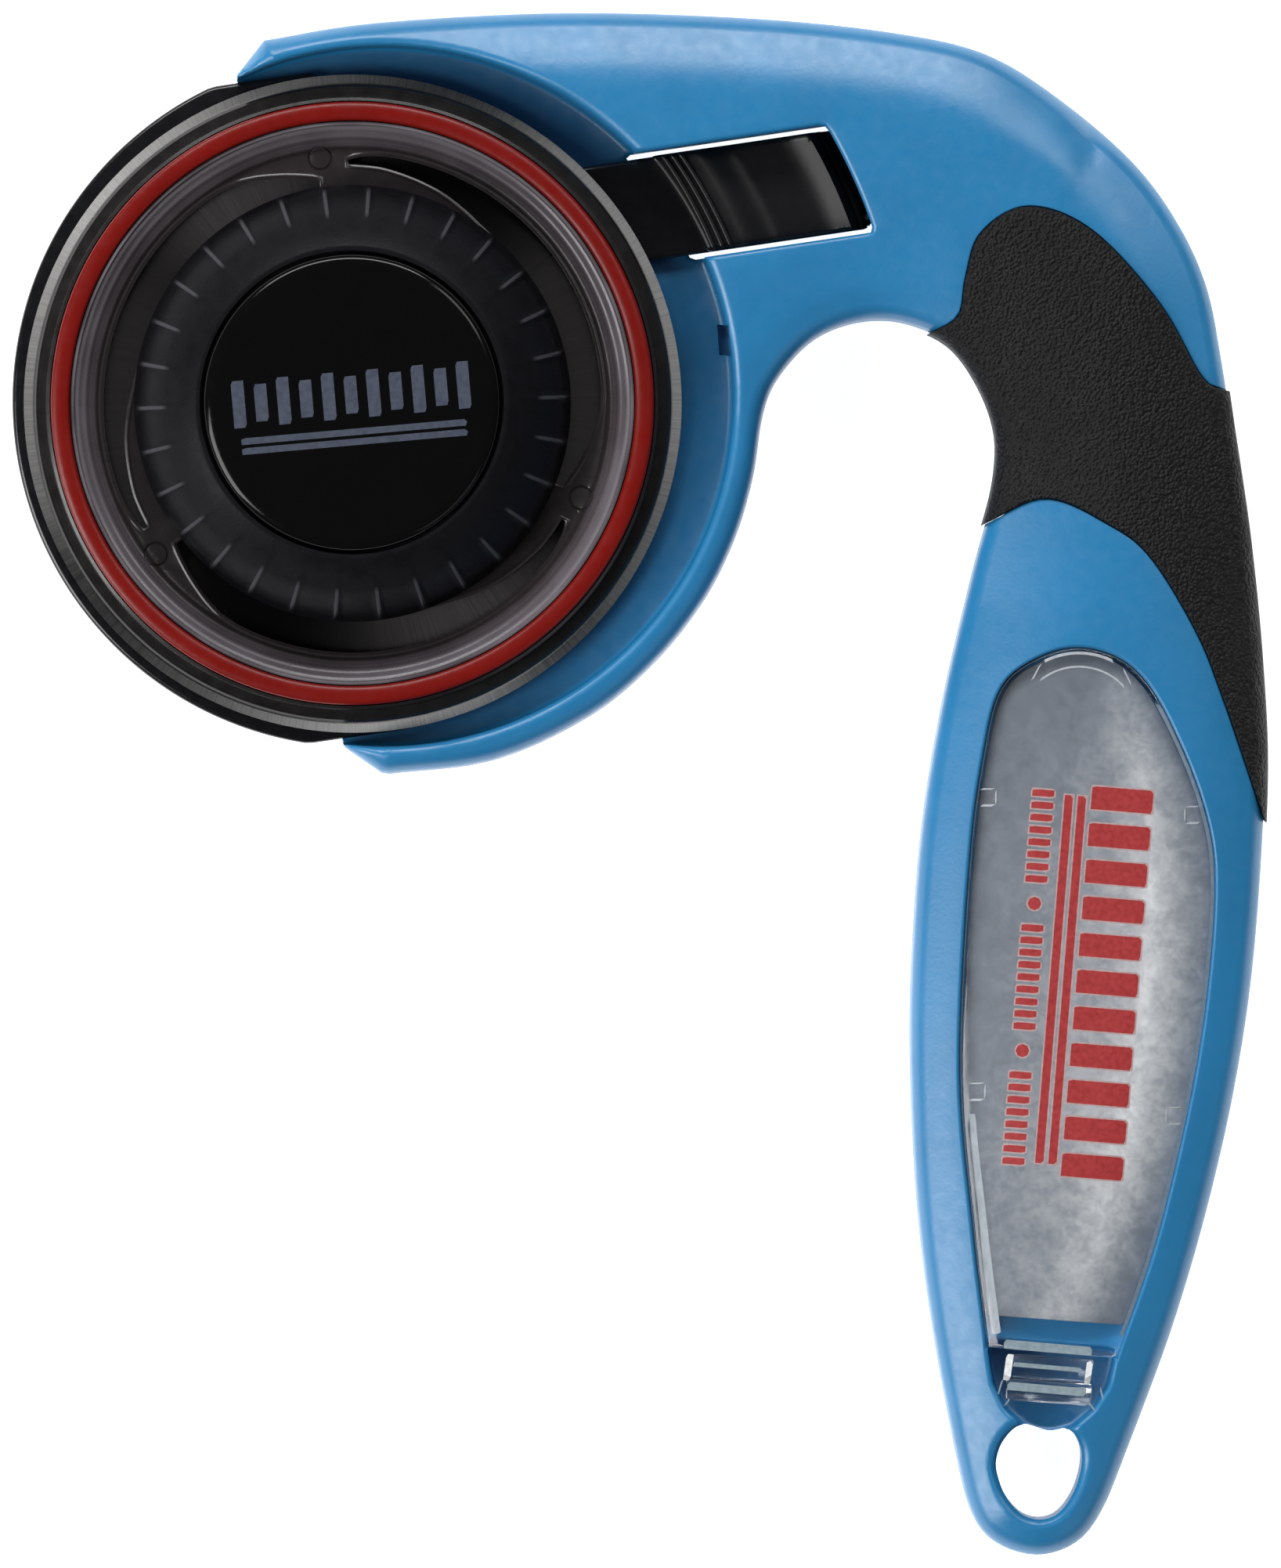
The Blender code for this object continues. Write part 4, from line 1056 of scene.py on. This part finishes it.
def lid(look):
    """Clear lid, flush with the handle: plate, skirt and four small tabs."""
    outline = resample(inset(LID_EDGE, LID_GAP), 0.7)
    squares = [np.array(tab) + 0.65 * np.array(((-1, -1), (1, -1), (1, 1), (-1, 1))) for tab in TABS]
    lines = insets(outline, 1, 0, 0.02, 0.08, 0.15, 0.2, LID_SKIRT, LID_SKIRT + STEEP)
    lines += squares + [inset(square, -STEEP) for square in squares]

    def top(points):
        return lid_face(points) - quarter(depth(points, outline), 0.2)

    def bottom(points):
        plate = lid_face(points) - LID_PLATE
        low = blend(LID_LOW, plate, step(depth(points, outline) - LID_SKIRT))
        for square in squares:
            foot = np.clip(1 + depth(points, square) / STEEP, 0, 1)
            low = np.minimum(low, blend(plate, plate - 0.7, foot))
        return low

    made = solid("clear_lid", lines, top, bottom, outline, 1.2)
    let_light_in(made)
    dress(made, look, "compartment_lid", "clear_plastic", "storage_lid")


def card(look):
    """Card under the lid, bent to the lid's curve, cut off aslant at its lower end."""
    edge = resample(inset(LID_EDGE, CARD_INSET), 0.15)
    left, right = np.array(CARD_END)
    cut = left[1] + (edge[:, 0] - left[0]) / (right[0] - left[0]) * (right[1] - left[1])
    outline = resample(rounded(edge[edge[:, 1] > cut], 1.5), 0.6)

    def top(points):
        return skin(points) - CARD_DROP - quarter(depth(points, outline), 0.12)

    def bottom(points):
        return skin(points) - CARD_DROP - CARD_THICK

    made = solid("backing_card", insets(outline, 1, 0, 0.03, 0.12), top, bottom, outline, 1.5)
    dress(made, look, "compartment_lid", "card", "label_card")


def bar(centre, length, width, lean):
    """Four corners of a bar that is turned by an angle."""
    corners = np.array(((-width, -length), (width, -length), (width, length), (-width, length))) / 2
    turn = np.array(((cos(lean), sin(lean)), (-sin(lean), cos(lean))))
    return np.array(centre) + corners @ turn


def bars(*rows):
    """Bars given as x, y, length, width and lean in degrees."""
    return [bar((x, y), length, width, radians(lean)) for x, y, length, width, lean in rows]


def band(radius, width, start, end):
    """Narrow curved line over the lid's tongue, between two angles in degrees."""
    start = radians(start)
    end = radians(end)
    return np.vstack((arc(TONGUE, radius, start, end, 24), arc(TONGUE, radius + width, end, start, 24)))


def printed(name, marks, height, thick, look, body):
    """Thin patches that follow a surface: ink, and painted highlights on the edges of clear mouldings."""
    lines = [resample(mark, 0.5) for mark in marks]

    def keep(points):
        return np.any([inside(points, line) for line in lines], axis=0)

    def top(points):
        return heights(height, points) + thick

    made = solid(name, lines, top, height, keep=keep)
    made.visible_shadow = False
    return dress(made, look, body, None)


def on_lid(points):
    """Height at which marks lie on the lid."""
    return lid_face(points) + 0.005


def lid_details(look, rim_highlight_look):
    """Painted highlights on the clear lid: a pale strip along its left side wall, a line along its right-hand
    rim, and lines on the edges of its tongue and tabs.
    """
    side = smooth(LID_LEFT)
    side = side[(side[:, 1] < -28.8) & (side[:, 1] > -50.6)]
    taper = np.linspace(0.0, 1.0, len(side))[:, None] * (0.15, 0.0)
    strip = np.vstack((side + (0.75, 0.0) + taper, (side + (1.6, 0.0) - taper)[::-1]))
    marks = [band(5.5, 0.17, 41, 130), band(6.7, 0.26, 62, 118)]
    marks += bars((36.05, 10.2, 1.9, 0.13, -28), (44.3, 9.8, 1.8, 0.13, 27))
    for x, y in TABS:
        inner = x + (0.75 if x < 40 else -0.75)
        marks += bars((x, y + 0.75, 0.13, 1.4, 0), (x, y - 0.75, 0.2, 1.4, 0), (inner, y, 1.4, 0.13, 0))
    loops = [resample(inset(LID_EDGE, gap), 0.5) for gap in (0.2, 0.5)]
    edges = [loop[(loop[:, 0] > 38.5) & (np.abs(loop[:, 1] + 21.5) < 29.0)] for loop in loops]

    def under_lid(points):
        return skin(points) - LID_PLATE - 0.35

    # Painted highlights: pale lines where the clear lid's wall, tongue, tabs and rim catch light.
    printed("lid_wall_light_strip", [strip], under_lid, 0.15, look, "compartment_lid")
    printed("lid_edge_highlights", marks, on_lid, 0.02, look, "compartment_lid")
    printed("lid_rim_highlight", [np.vstack((edges[0], edges[1][::-1]))], on_lid, 0.02, rim_highlight_look, "compartment_lid")


def lid_print(ink, edge_ink):
    """Generic print on the lid, red with a pale outline: a broad band of slanted bars, two long stripes,
    short bars and dots."""
    lean = radians(4.65)
    along = np.array((sin(lean), cos(lean)))
    across = np.array((cos(lean), -sin(lean)))
    middle = np.array((40.6, -18.0))
    marks = [bar(middle + along * (k - 5) * 3.35 + across * 1.9, 2.1, 5.6, -lean) for k in range(11)]
    marks += [bar(middle - across * shift, 33.6, 0.75, -lean) for shift in (1.75, 2.95)]
    for k in range(-15, 16):
        spot = middle - across * 5.3 + along * k * 1.12
        if abs(k) == 6:
            marks.append(ring(spot, 0.62, 18))
        elif abs(abs(k) - 6) > 1:
            marks.append(bar(spot, 0.62, 2.0, -lean))

    def higher(points):
        return on_lid(points) + 0.02

    outlines = [inset(mark, -0.14) for mark in marks]
    printed("lid_marks_edge", outlines, on_lid, 0.02, edge_ink, "compartment_lid")
    printed("lid_marks", marks, higher, 0.02, ink, "compartment_lid")


def cap_print(ink):
    """Grey generic hatch on the cap: upright bars over two stripes."""
    lean = radians(5.0)
    along = np.array((cos(lean), sin(lean)))
    across = np.array((-sin(lean), cos(lean)))
    marks = [bar(AXIS + along * (k - 5) * 2.05 + across * 0.7, 4.3 - 0.9 * (k % 2), 1.15, lean)
             for k in range(11)]
    marks += [bar(AXIS - across * shift, 0.6, 20.6, lean) for shift in (2.7, 3.6)]

    def height(points):
        return CAP_TOP + 0.012 - away(points) / 12.3 * 0.06

    printed("cap_marks", marks, height, 0.012, ink, "clamping_knob")


def latch_details(clear, pale, glint_paint):
    """The latch's two clear ears, painted highlights on the ears' edges and its cross bars, and bright
    painted glints at the ends of its legs.
    """
    ears = [np.array(((33.3, -54.15), (33.4, -55.5), (33.75, -56.7), (32.95, -55.8), (32.5, -54.1))),
            np.array(((41.0, -54.75), (42.1, -54.9), (41.6, -56.2), (40.65, -57.3), (40.85, -55.9)))]
    rims = bars((32.75, -54.95, 1.75, 0.14, -17), (33.4, -56.3, 1.0, 0.14, -35),
                (42.0, -55.5, 1.3, 0.14, 15), (41.15, -56.75, 1.5, 0.14, 38))
    rungs = bars((37.1, -51.3, 0.8, 8.0, -5), (37.1, -53.1, 0.4, 6.4, -5), (37.0, -55.1, 0.75, 7.2, -5))
    ends = bars((33.5, -53.1, 2.4, 0.65, -8), (40.8, -53.6, 2.2, 0.55, -8))

    def level(points):
        return np.where(points[:, 1] > -54.2, 20.92, 20.52)

    made = printed("latch_ears", ears, 19.8, 0.6, clear, "latch")
    let_light_in(made)
    # Painted highlights on the clear latch's ear edges and cross bars, and painted glints at the ends of its
    # legs.
    printed("latch_rim_highlights", rims, 20.41, 0.03, pale, "latch")
    printed("latch_bar_highlights", rungs, level, 0.03, pale, "latch")
    printed("latch_leg_glints", ends, level, 0.03, glint_paint, "latch")


def latch(look):
    """Springy U at the lid's lower end with a flange for the fingertip; its edges are rounded."""
    profile = ((0, 20.9), (0, 14.6), (-0.9, 13.9), (-2.2, 13.9), (-3.1, 14.6), (-3.1, 19.6), (-4.2, 19.6),
               (-4.2, 20.5), (-2.2, 20.5), (-2.2, 15), (-0.9, 15), (-0.9, 20.9))
    half = 3.9
    edit = bmesh.new()
    corners = [edit.verts.new((-half * MM, y * MM, z * MM)) for y, z in profile]
    pushed = bmesh.ops.extrude_face_region(edit, geom=[edit.faces.new(corners)])
    moved = [v for v in pushed["geom"] if isinstance(v, bmesh.types.BMVert)]
    bmesh.ops.translate(edit, verts=moved, vec=(2 * half * MM, 0, 0))
    bmesh.ops.recalc_face_normals(edit, faces=edit.faces)
    sharp = [e for e in edit.edges if e.calc_face_angle(0) > radians(30)]
    bmesh.ops.bevel(edit, geom=sharp, offset=0.18 * MM, segments=2, profile=0.5, affect="EDGES",
                    clamp_overlap=True)
    made = put("latch_u", edit, sharp=38.0)
    shift = Matrix.Translation([along * MM for along in LATCH_PLACE])
    made.data.transform(shift @ Matrix.Rotation(LATCH_LEAN, 4, "Z"))
    let_light_in(made)
    dress(made, look, "latch", "clear_plastic", "lid_latch")


# ---- Studio ----

def floor():
    """Broad pale floor that glows a little, like a light table."""
    edit = bmesh.new()
    bmesh.ops.create_grid(edit, x_segments=1, y_segments=1, size=6.0)
    obj = put("floor", edit)
    obj.location = (0, 0, -0.0003)
    paint(obj, Look("floor", (0.9, 0.9, 0.9), 0.9, Emission_Color=(1.0, 1.0, 1.0, 1.0),
                    Emission_Strength=0.95, Specular_IOR_Level=0.0).material)


def area_light(name, place, size, power):
    """Soft box that faces the middle of the cutter."""
    light = bpy.data.lights.new(name, "AREA")
    light.shape = "RECTANGLE"
    light.size, light.size_y = size
    light.energy = power
    obj = bpy.data.objects.new(name, light)
    obj.location = place
    obj.rotation_euler = (-Vector(place)).to_track_quat("-Z", "Y").to_euler()
    bpy.context.scene.collection.objects.link(obj)


def lights():
    """Long key beyond the head, broad light on the lower left, small box high on the right, weak fill."""
    area_light("key", (-0.1, 0.95, 0.85), (1.2, 0.34), 13.0)
    area_light("top", (0.56, 0.55, 1.0), (0.35, 0.35), 1.7)
    area_light("side", (-0.9, -0.38, 0.86), (0.6, 0.9), 13.5)
    area_light("fill", (0.8, -0.8, 0.8), (0.7, 0.7), 0.8)
    world = bpy.data.worlds.new("studio")
    world.use_nodes = True
    sky = world.node_tree.nodes["Background"].inputs
    sky["Color"].default_value = (0.75, 0.8, 0.85, 1.0)
    sky["Strength"].default_value = 0.05
    bpy.context.scene.world = world
    bpy.context.scene.view_settings.view_transform = "Standard"


def camera():
    """Camera straight above, upright with the handle's head at the top."""
    data = bpy.data.cameras.new("camera")
    data.sensor_width = 36.0
    data.lens = 36.0 * CAMERA_DISTANCE / FRAME_HEIGHT
    data.clip_start = 0.05
    data.clip_end = 20.0
    obj = bpy.data.objects.new("camera", data)
    obj.location = (0, 0, CAMERA_DISTANCE + FRAME_LEVEL)
    bpy.context.scene.collection.objects.link(obj)
    bpy.context.scene.camera = obj


def main():
    """Build every piece."""
    # The case's recess floors get painted shade.
    case_blue = moulded("blue_plastic", (0.0165, 0.19, 0.412), 0.36, painted_recess_shade=0.4, Specular_IOR_Level=0.7)
    black = moulded("black_plastic", (0.006, 0.006, 0.007), 0.2, 900.0, 0.000006)
    cap_black = moulded("cap_plastic", (0.003, 0.003, 0.003), 0.1, 300.0, 0.000004, Specular_IOR_Level=0.25)
    red = moulded("red_ring", (0.17, 0.005, 0.003), 0.32, 1800.0, Specular_IOR_Level=0.3)
    zinc = metal_look("plated_steel", (0.5, 0.5, 0.51), 0.36)
    clear = clear_look()
    halves = ((shell, "case", case_blue), (grip, "grip_skin", grip_look()),
              (thumb_slide, "thumb_piece", thumb_look()))
    for side in ("front", "back"):
        for make, name, look in halves:
            make(f"{side}_{name}", look, side == "front")
    case_screws(zinc)
    bolt(zinc)
    guard(black)
    blade(blade_look())
    guide_disc(smoke_look())
    guide_ring(red)
    knob(knob_look(), cap_black)
    cap_print(print_look("cap_ink", (0.045, 0.055, 0.085)))
    lid(clear)
    card(card_look())
    # Pale and blue-grey painted highlights on the lid's edges.
    lid_details(print_look("edge_highlight_paint", (0.4, 0.43, 0.46)), print_look("rim_highlight_paint", (0.17, 0.23, 0.3)))
    lid_print(print_look("red_ink", (0.36, 0.026, 0.028)), print_look("pale_ink", (0.42, 0.3, 0.3)))
    latch(clear)
    # Painted highlights and glints on the clear latch.
    latch_details(clear, print_look("latch_highlight_paint", (0.24, 0.31, 0.35)),
                  print_look("latch_glint_paint", (0.8, 0.82, 0.82)))
    for node in ("detent_spring", "keyed_washer", "spring_washer"):
        paint(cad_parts[node], zinc)
    paint(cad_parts["thread_insert"], metal_look("brass", (0.6, 0.42, 0.16), 0.34))
    floor()
    lights()
    camera()


main()
